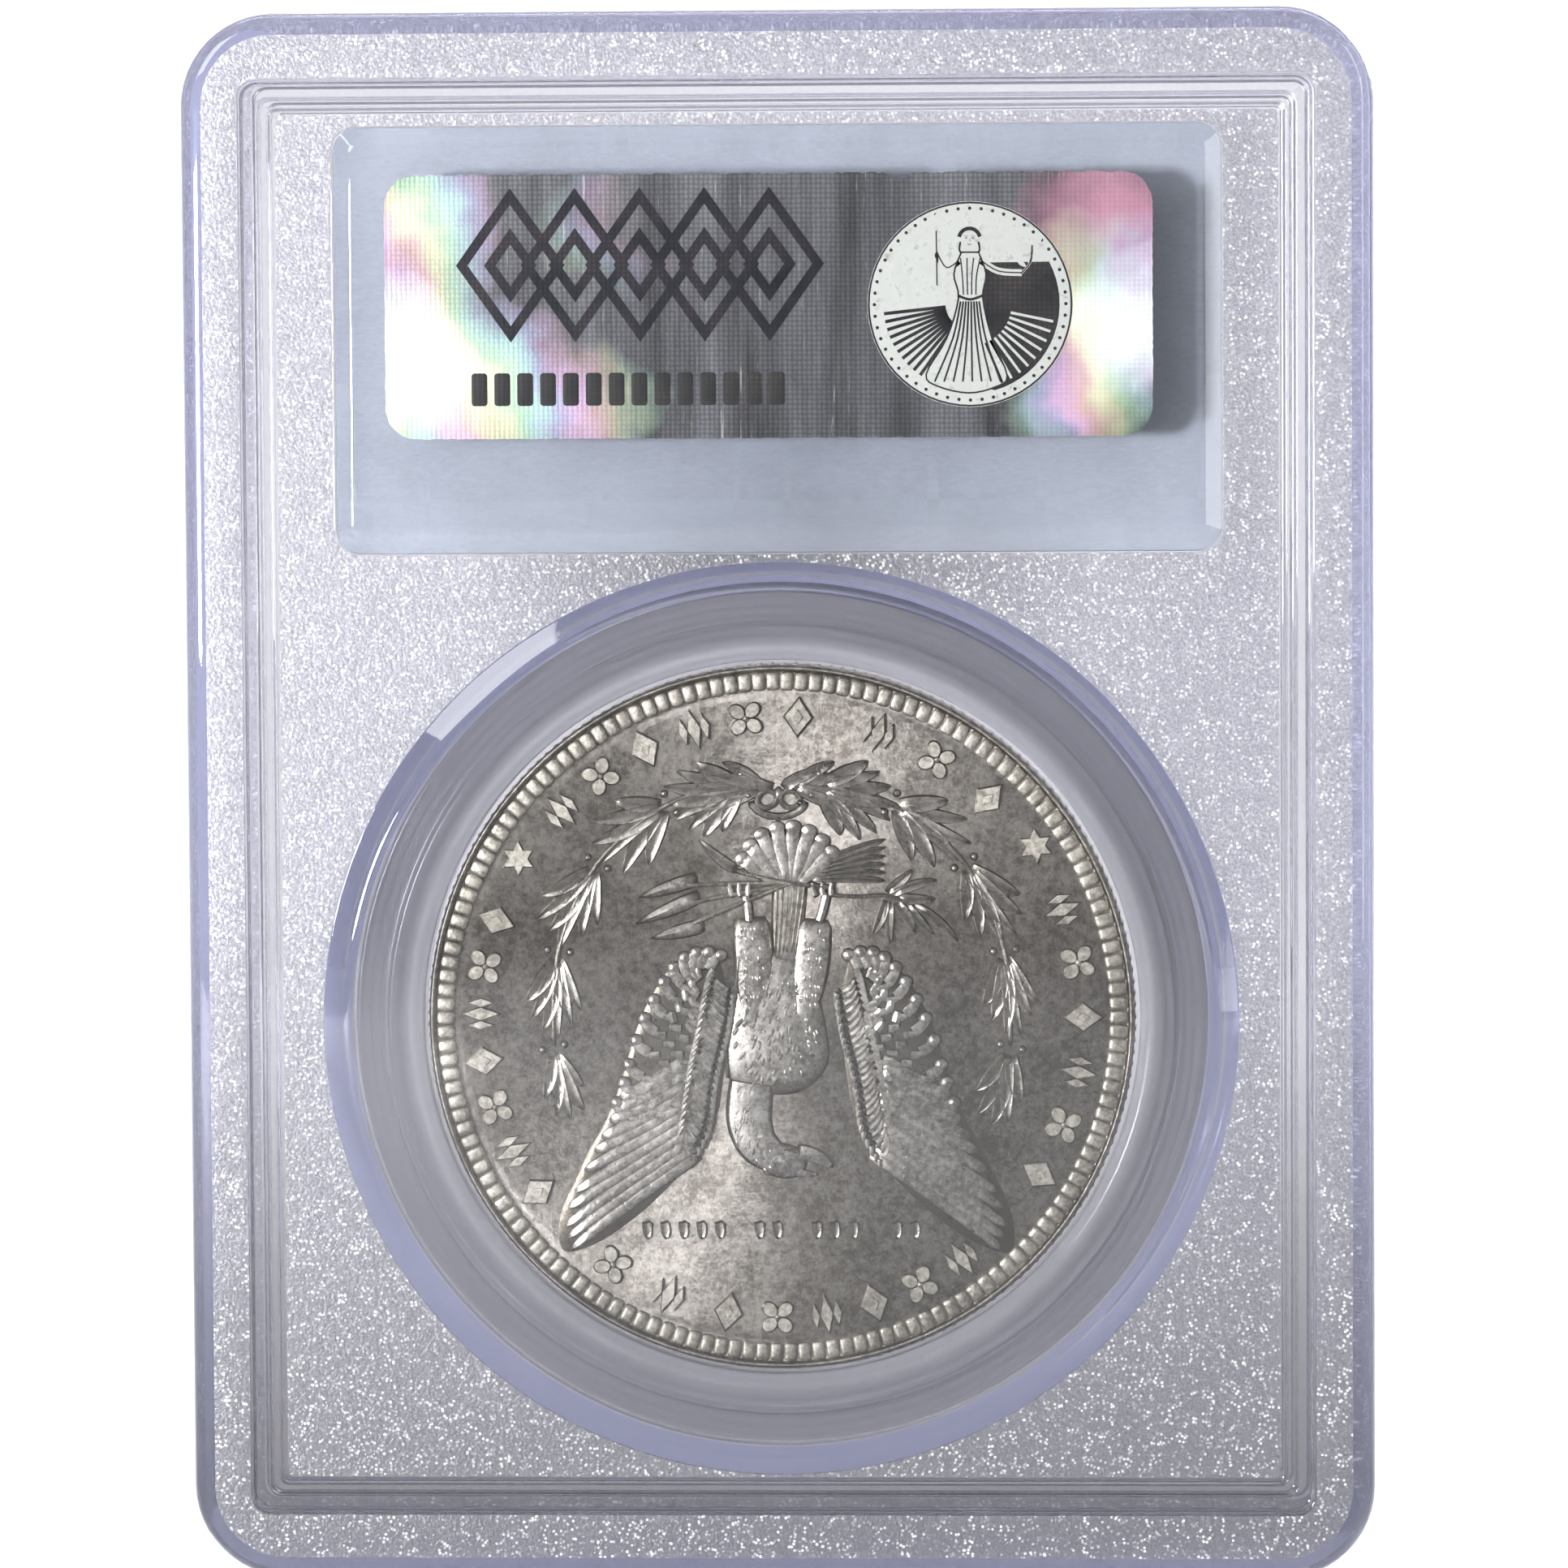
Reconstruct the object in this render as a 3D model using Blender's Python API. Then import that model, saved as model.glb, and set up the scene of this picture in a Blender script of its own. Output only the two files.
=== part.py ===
"""Graded coin slab: a sealed clear holder with one large silver coin, modelled at rest.

Frame: metres, +Z up. The slab stands on its bottom edge and the origin is the middle of that edge.
The rear face, with the foil seal, looks along -Y and the front face along +Y. The two halves of the
holder meet at the plane y = 0 and are welded there along a bead that runs round the rim.
"""

import math

import bmesh
import bpy

MM = 0.001

# Outline of the holder
SLAB_WIDTH = 63.5 * MM
SLAB_HEIGHT = 84.0 * MM
SLAB_THICKNESS = 8.0 * MM
CORNER_RADIUS = 5.0 * MM
EDGE_RADIUS = 1.2 * MM  # rounding between the side wall and the rim's face
MIDDLE_Z = SLAB_HEIGHT / 2

# Raised rim, which keeps stacked slabs off their windows, and the moulding that steps down from it
RIM_FACE = SLAB_THICKNESS / 2
RIM_SIDE_WIDTH = 3.3 * MM
RIM_END_WIDTH = 3.7 * MM
RIM_INNER_RADIUS = 0.9 * MM
STEP_DRAFT = 0.1 * MM
UPPER_LEDGE_DEPTH = 0.35 * MM
UPPER_LEDGE_WIDTH = 0.85 * MM
LOWER_LEDGE_DEPTH = 0.70 * MM
LOWER_LEDGE_WIDTH = 0.55 * MM
FIELD_FACE = RIM_FACE - 1.0 * MM
WINDOW_FACE = FIELD_FACE + 0.5 * MM

# Label window, its pocket and the card
LABEL_CENTRE_Z = 66.5 * MM
LABEL_WINDOW_WIDTH = 47.4 * MM
LABEL_WINDOW_HEIGHT = 22.8 * MM
LABEL_WINDOW_RADIUS = 1.3 * MM
WINDOW_BEVEL = 1.0 * MM
CARD_WIDTH = 46.4 * MM
CARD_HEIGHT = 21.8 * MM
CARD_THICKNESS = 0.35 * MM
CARD_RADIUS = 0.5 * MM
CARD_CLEARANCE = 0.3 * MM

# Foil seal on the rear label window
SEAL_WIDTH = 40.9 * MM
SEAL_HEIGHT = 14.1 * MM
SEAL_THICKNESS = 0.15 * MM
SEAL_RADIUS = 1.7 * MM
SEAL_GAP = 0.05 * MM
SEAL_CENTRE_X = -0.4 * MM
SEAL_CENTRE_Z = 68.3 * MM

# Coin, coin window and gasket
COIN_CENTRE_Z = 30.1 * MM
COIN_RADIUS = 19.05 * MM
COIN_THICKNESS = 2.4 * MM
COIN_FIELD_DEPTH = 0.25 * MM
COIN_RIM_WIDTH = 1.1 * MM
COIN_EDGE_CHAMFER = 0.12 * MM
COIN_WINDOW_RADIUS = 24.5 * MM
COIN_WINDOW_BEVEL = 1.2 * MM
GASKET_INNER_RADIUS = 19.25 * MM
GASKET_BODY_RADIUS = 21.2 * MM
GASKET_FLANGE_RADIUS = 22.9 * MM
GASKET_BODY_THICKNESS = 3.2 * MM
GASKET_FLANGE_THICKNESS = 1.6 * MM
GASKET_CLEARANCE = 0.2 * MM

# Seam between the halves: a tongue on the rear half sits in a groove of the front half
SEAM_GAP = 0.3 * MM
SEAM_CHAMFER = 0.2 * MM
TONGUE_INSET = 1.8 * MM
TONGUE_WIDTH = 0.8 * MM
TONGUE_HEIGHT = 0.7 * MM
GROOVE_CLEARANCE = 0.3 * MM

CORNER_STEPS = 8
SMALL_CORNER_STEPS = 4
EDGE_STEPS = 5
CIRCLE_STEPS = 96
OVERLAP = 0.3 * MM  # how far a joined or cutting solid runs past the face it meets
SHARP_ANGLE = math.radians(35)

REAR = -1
FRONT = 1


def clear_scene():
    for obj in list(bpy.data.objects):
        bpy.data.objects.remove(obj, do_unlink=True)


def make_material(name, colour, roughness, metallic=0.0, transmission=0.0):
    """A Principled BSDF material."""
    material = bpy.data.materials.new(name)
    material.use_nodes = True
    shader = material.node_tree.nodes["Principled BSDF"]
    shader.inputs["Base Color"].default_value = (*colour, 1.0)
    shader.inputs["Roughness"].default_value = roughness
    shader.inputs["Metallic"].default_value = metallic
    shader.inputs["Transmission Weight"].default_value = transmission
    return material


def rounded_rectangle(width, height, radius, steps):
    """Points (x, z) of a rounded rectangle about its centre, anticlockwise from the right-hand side."""
    points = []
    for quarter in range(4):
        turn = quarter * math.pi / 2
        side_x = 1 if quarter in (0, 3) else -1
        side_z = 1 if quarter in (0, 1) else -1
        centre_x = side_x * (width / 2 - radius)
        centre_z = side_z * (height / 2 - radius)
        for step in range(steps + 1):
            angle = turn + step / steps * math.pi / 2
            points.append((centre_x + radius * math.cos(angle), centre_z + radius * math.sin(angle)))
    return points


def at_depth(points, y, centre_x=0.0, centre_z=MIDDLE_Z):
    """The flat outline placed at a depth y."""
    return [(centre_x + x, y, centre_z + z) for x, z in points]


def object_from(name, bm, material=None):
    """Turns a bmesh into a mesh object whose faces look outwards."""
    bmesh.ops.remove_doubles(bm, verts=bm.verts, dist=1e-7)
    bmesh.ops.recalc_face_normals(bm, faces=bm.faces)
    mesh = bpy.data.meshes.new(name)
    bm.to_mesh(mesh)
    bm.free()
    mesh.shade_smooth()
    mesh.set_sharp_from_angle(angle=SHARP_ANGLE)
    if material:
        mesh.materials.append(material)
    obj = bpy.data.objects.new(name, mesh)
    bpy.context.scene.collection.objects.link(obj)
    return obj


def loft(name, rings, material=None):
    """A closed solid through outlines of equal length, with flat ends."""
    bm = bmesh.new()
    loops = [[bm.verts.new(point) for point in ring] for ring in rings]
    for lower, upper in zip(loops, loops[1:]):
        bridge(bm, lower, upper)
    bm.faces.new(loops[0])
    bm.faces.new(loops[-1])
    return object_from(name, bm, material)


def bridge(bm, lower, upper):
    """Quads between two loops of vertices."""
    count = len(lower)
    for i in range(count):
        following = (i + 1) % count
        bm.faces.new((lower[i], lower[following], upper[following], upper[i]))


def frame_solid(name, outer, inner, y_start, y_end):
    """A solid frame between an outer and an inner outline."""
    bm = bmesh.new()
    rings = [at_depth(outer, y_start), at_depth(outer, y_end), at_depth(inner, y_end), at_depth(inner, y_start)]
    loops = [[bm.verts.new(point) for point in ring] for ring in rings]
    for lower, upper in zip(loops, loops[1:] + loops[:1]):
        bridge(bm, lower, upper)
    return object_from(name, bm)


def turned(name, profile, material=None):
    """Turns a closed profile of (radius, y) points about the coin's axis; radius 0 makes a pole."""
    bm = bmesh.new()
    rings = []
    for radius, y in profile:
        if radius == 0:
            rings.append([bm.verts.new((0, y, COIN_CENTRE_Z))])
            continue
        ring = []
        for step in range(CIRCLE_STEPS):
            angle = 2 * math.pi * step / CIRCLE_STEPS
            x = radius * math.cos(angle)
            z = COIN_CENTRE_Z + radius * math.sin(angle)
            ring.append(bm.verts.new((x, y, z)))
        rings.append(ring)
    for lower, upper in zip(rings, rings[1:] + rings[:1]):
        if len(lower) == 1 and len(upper) == 1:
            continue
        if len(lower) == 1 or len(upper) == 1:
            fan(bm, lower, upper)
        else:
            bridge(bm, lower, upper)
    return object_from(name, bm, material)


def fan(bm, first, second):
    """Triangles between a pole and a loop."""
    pole, loop = (first[0], second) if len(first) == 1 else (second[0], first)
    for i in range(len(loop)):
        bm.faces.new((pole, loop[i], loop[(i + 1) % len(loop)]))


def combine(target, other, operation):
    """Adds or cuts a helper solid, which stays hidden beside its target."""
    modifier = target.modifiers.new(other.name, "BOOLEAN")
    modifier.operation = operation
    modifier.object = other
    other.hide_render = True
    other.display_type = "WIRE"
    other.parent = target


def slab_outline(side_inset, end_inset, radius):
    """The slab's outline drawn in by different amounts at its sides and ends."""
    width = SLAB_WIDTH - 2 * side_inset
    height = SLAB_HEIGHT - 2 * end_inset
    return rounded_rectangle(width, height, radius, CORNER_STEPS)


def shell_sections():
    """(side inset, end inset, corner radius, distance from the seam plane), from the seam outwards."""
    seam = SEAM_GAP / 2
    sections = [(SEAM_CHAMFER, SEAM_CHAMFER, CORNER_RADIUS - SEAM_CHAMFER, seam)]
    sections.append((0, 0, CORNER_RADIUS, seam + SEAM_CHAMFER))
    for step in range(EDGE_STEPS + 1):
        angle = step / EDGE_STEPS * math.pi / 2
        inset = EDGE_RADIUS * (1 - math.cos(angle))
        depth = RIM_FACE - EDGE_RADIUS * (1 - math.sin(angle))
        sections.append((inset, inset, CORNER_RADIUS - inset, depth))
    moulding = (
        (0, 0),
        (STEP_DRAFT, UPPER_LEDGE_DEPTH),
        (UPPER_LEDGE_WIDTH, UPPER_LEDGE_DEPTH),
        (STEP_DRAFT, LOWER_LEDGE_DEPTH),
        (LOWER_LEDGE_WIDTH, LOWER_LEDGE_DEPTH),
        (STEP_DRAFT, RIM_FACE - FIELD_FACE),
    )
    travelled = 0
    for width, drop in moulding:
        travelled += width
        radius = max(RIM_INNER_RADIUS - travelled / 3, 0.2 * MM)
        sections.append((RIM_SIDE_WIDTH + travelled, RIM_END_WIDTH + travelled, radius, RIM_FACE - drop))
    return sections


def shell_blank(name, side, material):
    """One half of the holder before its windows and pockets."""
    rings = [
        at_depth(slab_outline(side_inset, end_inset, radius), side * depth)
        for side_inset, end_inset, radius, depth in shell_sections()
    ]
    return loft(name, rings, material)


def label_window(side):
    """The bevelled plateau over the label."""
    base_depth = FIELD_FACE - OVERLAP
    outer = rounded_rectangle(LABEL_WINDOW_WIDTH, LABEL_WINDOW_HEIGHT, LABEL_WINDOW_RADIUS, SMALL_CORNER_STEPS)
    inner = rounded_rectangle(
        LABEL_WINDOW_WIDTH - 2 * WINDOW_BEVEL,
        LABEL_WINDOW_HEIGHT - 2 * WINDOW_BEVEL,
        LABEL_WINDOW_RADIUS / 2,
        SMALL_CORNER_STEPS,
    )
    rings = [
        at_depth(outer, side * base_depth, centre_z=LABEL_CENTRE_Z),
        at_depth(outer, side * FIELD_FACE, centre_z=LABEL_CENTRE_Z),
        at_depth(inner, side * WINDOW_FACE, centre_z=LABEL_CENTRE_Z),
    ]
    return loft("label_window_solid", rings)


def coin_window(side):
    """The bevelled round boss over the coin."""
    profile = (
        (0, side * (FIELD_FACE - OVERLAP)),
        (COIN_WINDOW_RADIUS, side * (FIELD_FACE - OVERLAP)),
        (COIN_WINDOW_RADIUS, side * FIELD_FACE),
        (COIN_WINDOW_RADIUS - COIN_WINDOW_BEVEL, side * WINDOW_FACE),
        (0, side * WINDOW_FACE),
    )
    return turned("coin_window_solid", profile)


def gasket_pocket(side):
    """The stepped round pocket that the gasket sits in."""
    flange_radius = GASKET_FLANGE_RADIUS + GASKET_CLEARANCE
    body_radius = GASKET_BODY_RADIUS + GASKET_CLEARANCE
    flange_depth = GASKET_FLANGE_THICKNESS / 2 + GASKET_CLEARANCE
    body_depth = GASKET_BODY_THICKNESS / 2 + GASKET_CLEARANCE
    profile = (
        (0, 0),
        (flange_radius, 0),
        (flange_radius, side * flange_depth),
        (body_radius, side * flange_depth),
        (body_radius, side * body_depth),
        (0, side * body_depth),
    )
    return turned("gasket_pocket_cutter", profile)


def label_pocket(side):
    """The shallow pocket for one face of the card."""
    outline = rounded_rectangle(
        CARD_WIDTH + 2 * CARD_CLEARANCE,
        CARD_HEIGHT + 2 * CARD_CLEARANCE,
        CARD_RADIUS + CARD_CLEARANCE,
        SMALL_CORNER_STEPS,
    )
    depth = CARD_THICKNESS / 2 + CARD_CLEARANCE
    rings = [
        at_depth(outline, 0, centre_z=LABEL_CENTRE_Z),
        at_depth(outline, side * depth, centre_z=LABEL_CENTRE_Z),
    ]
    return loft("label_pocket_cutter", rings)


def weld_bead(name, clearance, y_start, y_end):
    """The frame-shaped bead of the seam, grown by a clearance."""
    outer_inset = TONGUE_INSET - clearance
    inner_inset = TONGUE_INSET + TONGUE_WIDTH + clearance
    outer = slab_outline(outer_inset, outer_inset, CORNER_RADIUS - outer_inset)
    inner = slab_outline(inner_inset, inner_inset, CORNER_RADIUS - inner_inset)
    return frame_solid(name, outer, inner, y_start, y_end)


def shell_half(name, side, material):
    """One half of the holder with its two windows and two pockets."""
    shell = shell_blank(name, side, material)
    combine(shell, label_window(side), "UNION")
    combine(shell, coin_window(side), "UNION")
    combine(shell, gasket_pocket(side), "DIFFERENCE")
    combine(shell, label_pocket(side), "DIFFERENCE")
    return shell


def rear_shell(material):
    shell = shell_half("rear_shell", REAR, material)
    root = -SEAM_GAP / 2
    tongue = weld_bead("tongue_solid", 0, root - OVERLAP, root + TONGUE_HEIGHT)
    combine(shell, tongue, "UNION")


def front_shell(material):
    shell = shell_half("front_shell", FRONT, material)
    tongue_tip = TONGUE_HEIGHT - SEAM_GAP / 2
    groove = weld_bead("groove_cutter", GROOVE_CLEARANCE, 0, tongue_tip + GROOVE_CLEARANCE)
    combine(shell, groove, "DIFFERENCE")


def coin(material):
    """The coin's blank: struck rims and sunk fields on both faces."""
    rim_face = COIN_THICKNESS / 2
    field_face = rim_face - COIN_FIELD_DEPTH
    rim_inner = COIN_RADIUS - COIN_RIM_WIDTH
    half = (
        (0, field_face),
        (rim_inner, field_face),
        (rim_inner + COIN_FIELD_DEPTH, rim_face),
        (COIN_RADIUS - COIN_EDGE_CHAMFER, rim_face),
        (COIN_RADIUS, rim_face - COIN_EDGE_CHAMFER),
    )
    other_half = [(radius, -y) for radius, y in reversed(half)]
    turned("coin", [*half, *other_half], material)


def coin_gasket(material):
    """The ring round the coin: a thick body at the coin and a thin outer flange between the halves."""
    body = GASKET_BODY_THICKNESS / 2
    flange = GASKET_FLANGE_THICKNESS / 2
    half = (
        (GASKET_INNER_RADIUS, body),
        (GASKET_BODY_RADIUS, body),
        (GASKET_BODY_RADIUS, flange),
        (GASKET_FLANGE_RADIUS, flange),
    )
    other_half = [(radius, -y) for radius, y in reversed(half)]
    turned("coin_gasket", [*half, *other_half], material)


def label_card(material):
    outline = rounded_rectangle(CARD_WIDTH, CARD_HEIGHT, CARD_RADIUS, SMALL_CORNER_STEPS)
    rings = [
        at_depth(outline, -CARD_THICKNESS / 2, centre_z=LABEL_CENTRE_Z),
        at_depth(outline, CARD_THICKNESS / 2, centre_z=LABEL_CENTRE_Z),
    ]
    loft("label_card", rings, material)


def hologram_seal(material):
    """The foil sticker, on the outside of the rear label window."""
    outline = rounded_rectangle(SEAL_WIDTH, SEAL_HEIGHT, SEAL_RADIUS, CORNER_STEPS)
    inner_face = -(WINDOW_FACE + SEAL_GAP)
    rings = [
        at_depth(outline, inner_face - SEAL_THICKNESS, SEAL_CENTRE_X, SEAL_CENTRE_Z),
        at_depth(outline, inner_face, SEAL_CENTRE_X, SEAL_CENTRE_Z),
    ]
    loft("hologram_seal", rings, material)


def main():
    clear_scene()
    clear_styrene = make_material("clear_polystyrene", (0.86, 0.87, 0.92), 0.15, transmission=0.9)
    clear_elastomer = make_material("clear_elastomer", (0.85, 0.87, 0.90), 0.25, transmission=0.7)
    silver = make_material("struck_silver", (0.56, 0.54, 0.49), 0.28, metallic=1.0)
    paper = make_material("pale_blue_card", (0.54, 0.63, 0.74), 0.85)
    foil = make_material("security_foil", (0.16, 0.16, 0.17), 0.30, metallic=1.0)
    rear_shell(clear_styrene)
    front_shell(clear_styrene)
    coin_gasket(clear_elastomer)
    coin(silver)
    label_card(paper)
    hologram_seal(foil)


main()
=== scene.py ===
"""Graded coin slab: the finished look, built around the slab's measured frame.

Metres, +Z up. The slab stands on its bottom edge, its rear face looks along -Y and its front face
along +Y. Designs on the coin and the seal are drawn in millimetres from the coin's or seal's centre.
"""

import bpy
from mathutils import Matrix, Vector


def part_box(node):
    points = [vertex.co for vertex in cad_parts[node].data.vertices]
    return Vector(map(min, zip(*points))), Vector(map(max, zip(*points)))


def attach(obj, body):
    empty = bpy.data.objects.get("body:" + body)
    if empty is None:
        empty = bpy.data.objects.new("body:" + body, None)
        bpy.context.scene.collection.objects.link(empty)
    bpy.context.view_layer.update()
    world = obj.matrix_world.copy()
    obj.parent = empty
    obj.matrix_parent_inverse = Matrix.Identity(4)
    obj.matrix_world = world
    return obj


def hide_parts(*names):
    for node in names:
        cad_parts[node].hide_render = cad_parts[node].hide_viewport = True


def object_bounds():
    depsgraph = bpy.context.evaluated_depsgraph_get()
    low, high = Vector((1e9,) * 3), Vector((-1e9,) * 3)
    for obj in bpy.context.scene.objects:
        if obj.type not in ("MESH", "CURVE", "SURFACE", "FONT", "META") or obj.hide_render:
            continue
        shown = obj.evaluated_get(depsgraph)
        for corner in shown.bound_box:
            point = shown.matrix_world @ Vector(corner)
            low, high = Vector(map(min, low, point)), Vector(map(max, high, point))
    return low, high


bl_info = {
    "name": "Graded coin slab",
    "version": (1, 0, 0),
    "blender": (4, 5, 0),
    "location": "View3D > Sidebar > Coin slab",
    "description": "Builds a sealed coin slab: clear welded halves, ring, struck coin, card and foil seal",
    "category": "Object",
}

import math
import random

import bmesh
import bpy
from mathutils import Quaternion, Vector

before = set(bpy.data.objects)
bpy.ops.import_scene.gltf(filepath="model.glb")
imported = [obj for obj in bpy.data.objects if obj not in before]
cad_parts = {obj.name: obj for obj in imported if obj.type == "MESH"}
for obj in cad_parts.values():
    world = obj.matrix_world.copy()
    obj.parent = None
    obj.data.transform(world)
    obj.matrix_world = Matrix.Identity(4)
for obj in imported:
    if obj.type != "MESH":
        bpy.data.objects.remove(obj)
CAD_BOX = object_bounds()

MM = 0.001
REAR = -1
FRONT = 1
POLISHED, STIPPLED, EDGE = 0, 1, 2
POLYSTYRENE_IOR = 1.59
ROUND_STEPS = 160
FOIL_NET = 0.26 * MM

COIN_LOW, COIN_HIGH = (Vector(corner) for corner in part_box("coin"))
COIN_CENTRE = (COIN_LOW + COIN_HIGH) / 2
COIN_RADIUS = (COIN_HIGH.x - COIN_LOW.x) / 2
COIN_RIM_FACE = (COIN_HIGH.y - COIN_LOW.y) / 2
CARD_LOW, CARD_HIGH = (Vector(corner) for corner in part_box("label_card"))
SEAL_LOW, SEAL_HIGH = (Vector(corner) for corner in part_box("hologram_seal"))
CARD_CENTRE = (CARD_LOW + CARD_HIGH) / 2
SEAL_CENTRE = (SEAL_LOW + SEAL_HIGH) / 2
SEAL_FACE = SEAL_LOW.y + 0.02 * MM
SLAB_WIDTH = CAD_BOX[1][0] - CAD_BOX[0][0]
SLAB_HEIGHT = CAD_BOX[1][2] - CAD_BOX[0][2]
RIM_FACE = CAD_BOX[1][1]
SLAB_MIDDLE = Vector((0, 0, SLAB_HEIGHT / 2))


# ---------------------------------------------------------------------------------------------
# Settings


def length(name, description, default_mm):
    """A length property, given in millimetres."""
    return bpy.props.FloatProperty(
        name=name, description=description, default=default_mm * MM, min=0, precision=5, unit="LENGTH"
    )


def angle(name, description, default_degrees):
    """An angle property, given in degrees."""
    return bpy.props.FloatProperty(
        name=name, description=description, default=math.radians(default_degrees), unit="ROTATION"
    )


def linear(hex_code):
    """An sRGB hex colour as linear RGBA."""
    channels = [int(hex_code[i : i + 2], 16) / 255 for i in (0, 2, 4)]
    return (*[c / 12.92 if c <= 0.04045 else ((c + 0.055) / 1.055) ** 2.4 for c in channels], 1.0)


def colour(name, description, hex_code):
    """A colour property, given as an sRGB hex value."""
    return bpy.props.FloatVectorProperty(
        name=name, description=description, default=linear(hex_code), size=4, min=0, max=1, subtype="COLOR"
    )


class HolderSettings(bpy.types.PropertyGroup):
    """Sizes and colours of the two clear halves."""

    corner_radius: length("Corner radius", "Radius of the slab's outer corners", 5.0)
    edge_round: length("Edge rounding", "Radius between the side wall and the rim", 1.2)
    seam_gap: length("Seam", "Gap left between the two welded halves", 0.05)
    rim_side: length("Rim at the sides", "Width of the raised rim at the sides", 3.3)
    rim_end: length("Rim at the ends", "Width of the raised rim at the top and bottom", 3.7)
    field_depth: length("Field depth", "How far the stippled field lies below the rim", 1.0)
    window_rise: length("Window rise", "How far the windows stand above the field", 0.5)
    window_width: length("Label window width", "Width of the label window at its foot", 47.4)
    window_height: length("Label window height", "Height of the label window at its foot", 22.8)
    window_bevel: length("Window bevel", "Width of the label window's sloped border", 1.0)
    coin_window_radius: length("Coin window radius", "Radius of the round window at its foot", 24.5)
    coin_window_bevel: length("Coin window bevel", "Width of the round window's sloped border", 1.2)
    stipple: length("Stipple grain", "Spacing of the moulded stipple", 0.21)
    tint: colour(
        "Polystyrene tint", "Colour that the polished plastic gives what is seen through it", "D3D3D6"
    )
    haze: colour("Stipple tint", "Colour of the stippled plastic", "BDBDC5")
    # Painted shade: a darker tint that stands in for the dark band that the rounded edge and the coin
    # window's border show.
    edge_shade_tint: colour("Edge tint", "Colour of the thick rounded edge", "A9ACC8")


class CoinSettings(bpy.types.PropertyGroup):
    """Sizes and colours of the coin and its ring."""

    field_depth: length("Field depth", "How far the coin's field lies below its rim", 0.32)
    bead_count: bpy.props.IntProperty(
        name="Border beads", description="Beads in each border", default=150, min=8
    )
    bead_radius: length("Bead circle", "Radius of the circle through the border beads", 18.1)
    reed_count: bpy.props.IntProperty(
        name="Reeds", description="Reeds round the coin's edge", default=189, min=8
    )
    silver: colour("Silver", "Colour of the bright raised devices", "DEDACE")
    # Toning and painted shade in the hollows of the devices.
    device_shade: colour("Device shade", "Colour of the duller flecks on the border", "8C8779")
    hollow_tone_and_shade: colour(
        "Toned recesses", "Colour of the hollows between the devices' feathers and leaves", "625D52"
    )
    border: colour("Border marks", "Colour of the flat tops of the border marks", "DCD7C6")
    silver_field: colour("Field silver", "Colour of the brighter parts of the fields", "AFAA9E")
    toned: colour("Toned silver", "Colour of the toned parts of the fields", "6A645A")
    gasket: colour("Ring colour", "Colour of the clear ring that grips the coin", "B4B4BB")


class LabelSettings(bpy.types.PropertyGroup):
    """Colours of the card and the foil seal."""

    paper: colour("Card", "Colour of the pale blue card", "A6ADB5")
    print_dark: colour("Print", "Colour of the printed bars on the card's front", "4E6A94")
    foil: colour("Foil", "Colour of the seal's bare foil", "55565B")
    foil_print: colour("Foil print", "Colour of the dark print on the seal", "2B2B33")
    medallion: colour("Medallion", "Colour of the bright printed disc", "BCBFBC")


class StageSettings(bpy.types.PropertyGroup):
    """The floor, the lamps and the camera."""

    floor: colour("Floor", "Colour of the floor", "F2F2F4")
    camera_distance: length("Camera distance", "From the slab's middle to the lens", 410.0)
    view_height: length("View height", "Height that the picture takes in at the slab", 84.4)
    azimuth: angle("Azimuth", "How far the camera stands to the right of the slab's normal", 2.8)
    elevation: angle("Elevation", "How far the camera stands above the slab's normal", 3.8)
    roll: angle("Roll", "How far the camera leans about its own axis", -0.35)


# ---------------------------------------------------------------------------------------------
# Materials


def add_node(tree, kind, inputs=None, output=0, **settings):
    """Adds a node with its settings and returns one of its outputs; a short kind is a shader node's.

    Each input, given by name or number, takes a value or another node's output. By number, Map Range has
    0 value, 1 and 2 its range, 3 and 4 the new range, and a colour Mix has 0 share, 6 and 7 the colours.
    """
    whole_kind = kind.startswith(("GeometryNode", "NodeGroup"))
    node = tree.nodes.new(kind if whole_kind else "ShaderNode" + kind)
    for name, value in settings.items():
        setattr(node, name, value)
    for key, value in (inputs or {}).items():
        if isinstance(value, bpy.types.NodeSocket):
            tree.links.new(value, node.inputs[key])
        else:
            node.inputs[key].default_value = value
    return node.outputs[output] if node.outputs else None


def new_material(name):
    """An empty material and its node tree."""
    material = bpy.data.materials.new(name)
    material.use_nodes = True
    material.node_tree.nodes.clear()
    return material, material.node_tree


def finish(material, inputs, shade=None):
    """Ends a material in its shader; with a shade, rays that light things pass through it, dimmed by it."""
    tree = material.node_tree
    surface = add_node(tree, "BsdfPrincipled", inputs)
    if shade:
        lamp_ray = add_node(tree, "LightPath", output="Is Shadow Ray")
        clear = add_node(tree, "BsdfTransparent", {"Color": shade})
        surface = add_node(tree, "MixShader", {0: lamp_ray, 1: surface, 2: clear})
    add_node(tree, "OutputMaterial", {"Surface": surface})
    return material


def object_coordinates(tree, offset=(0, 0, 0), stretch=(1, 1, 1)):
    """The piece's own coordinates, moved and stretched."""
    place = add_node(tree, "TexCoord", output="Object")
    return add_node(tree, "Mapping", {"Vector": place, "Location": offset, "Scale": stretch})


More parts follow.
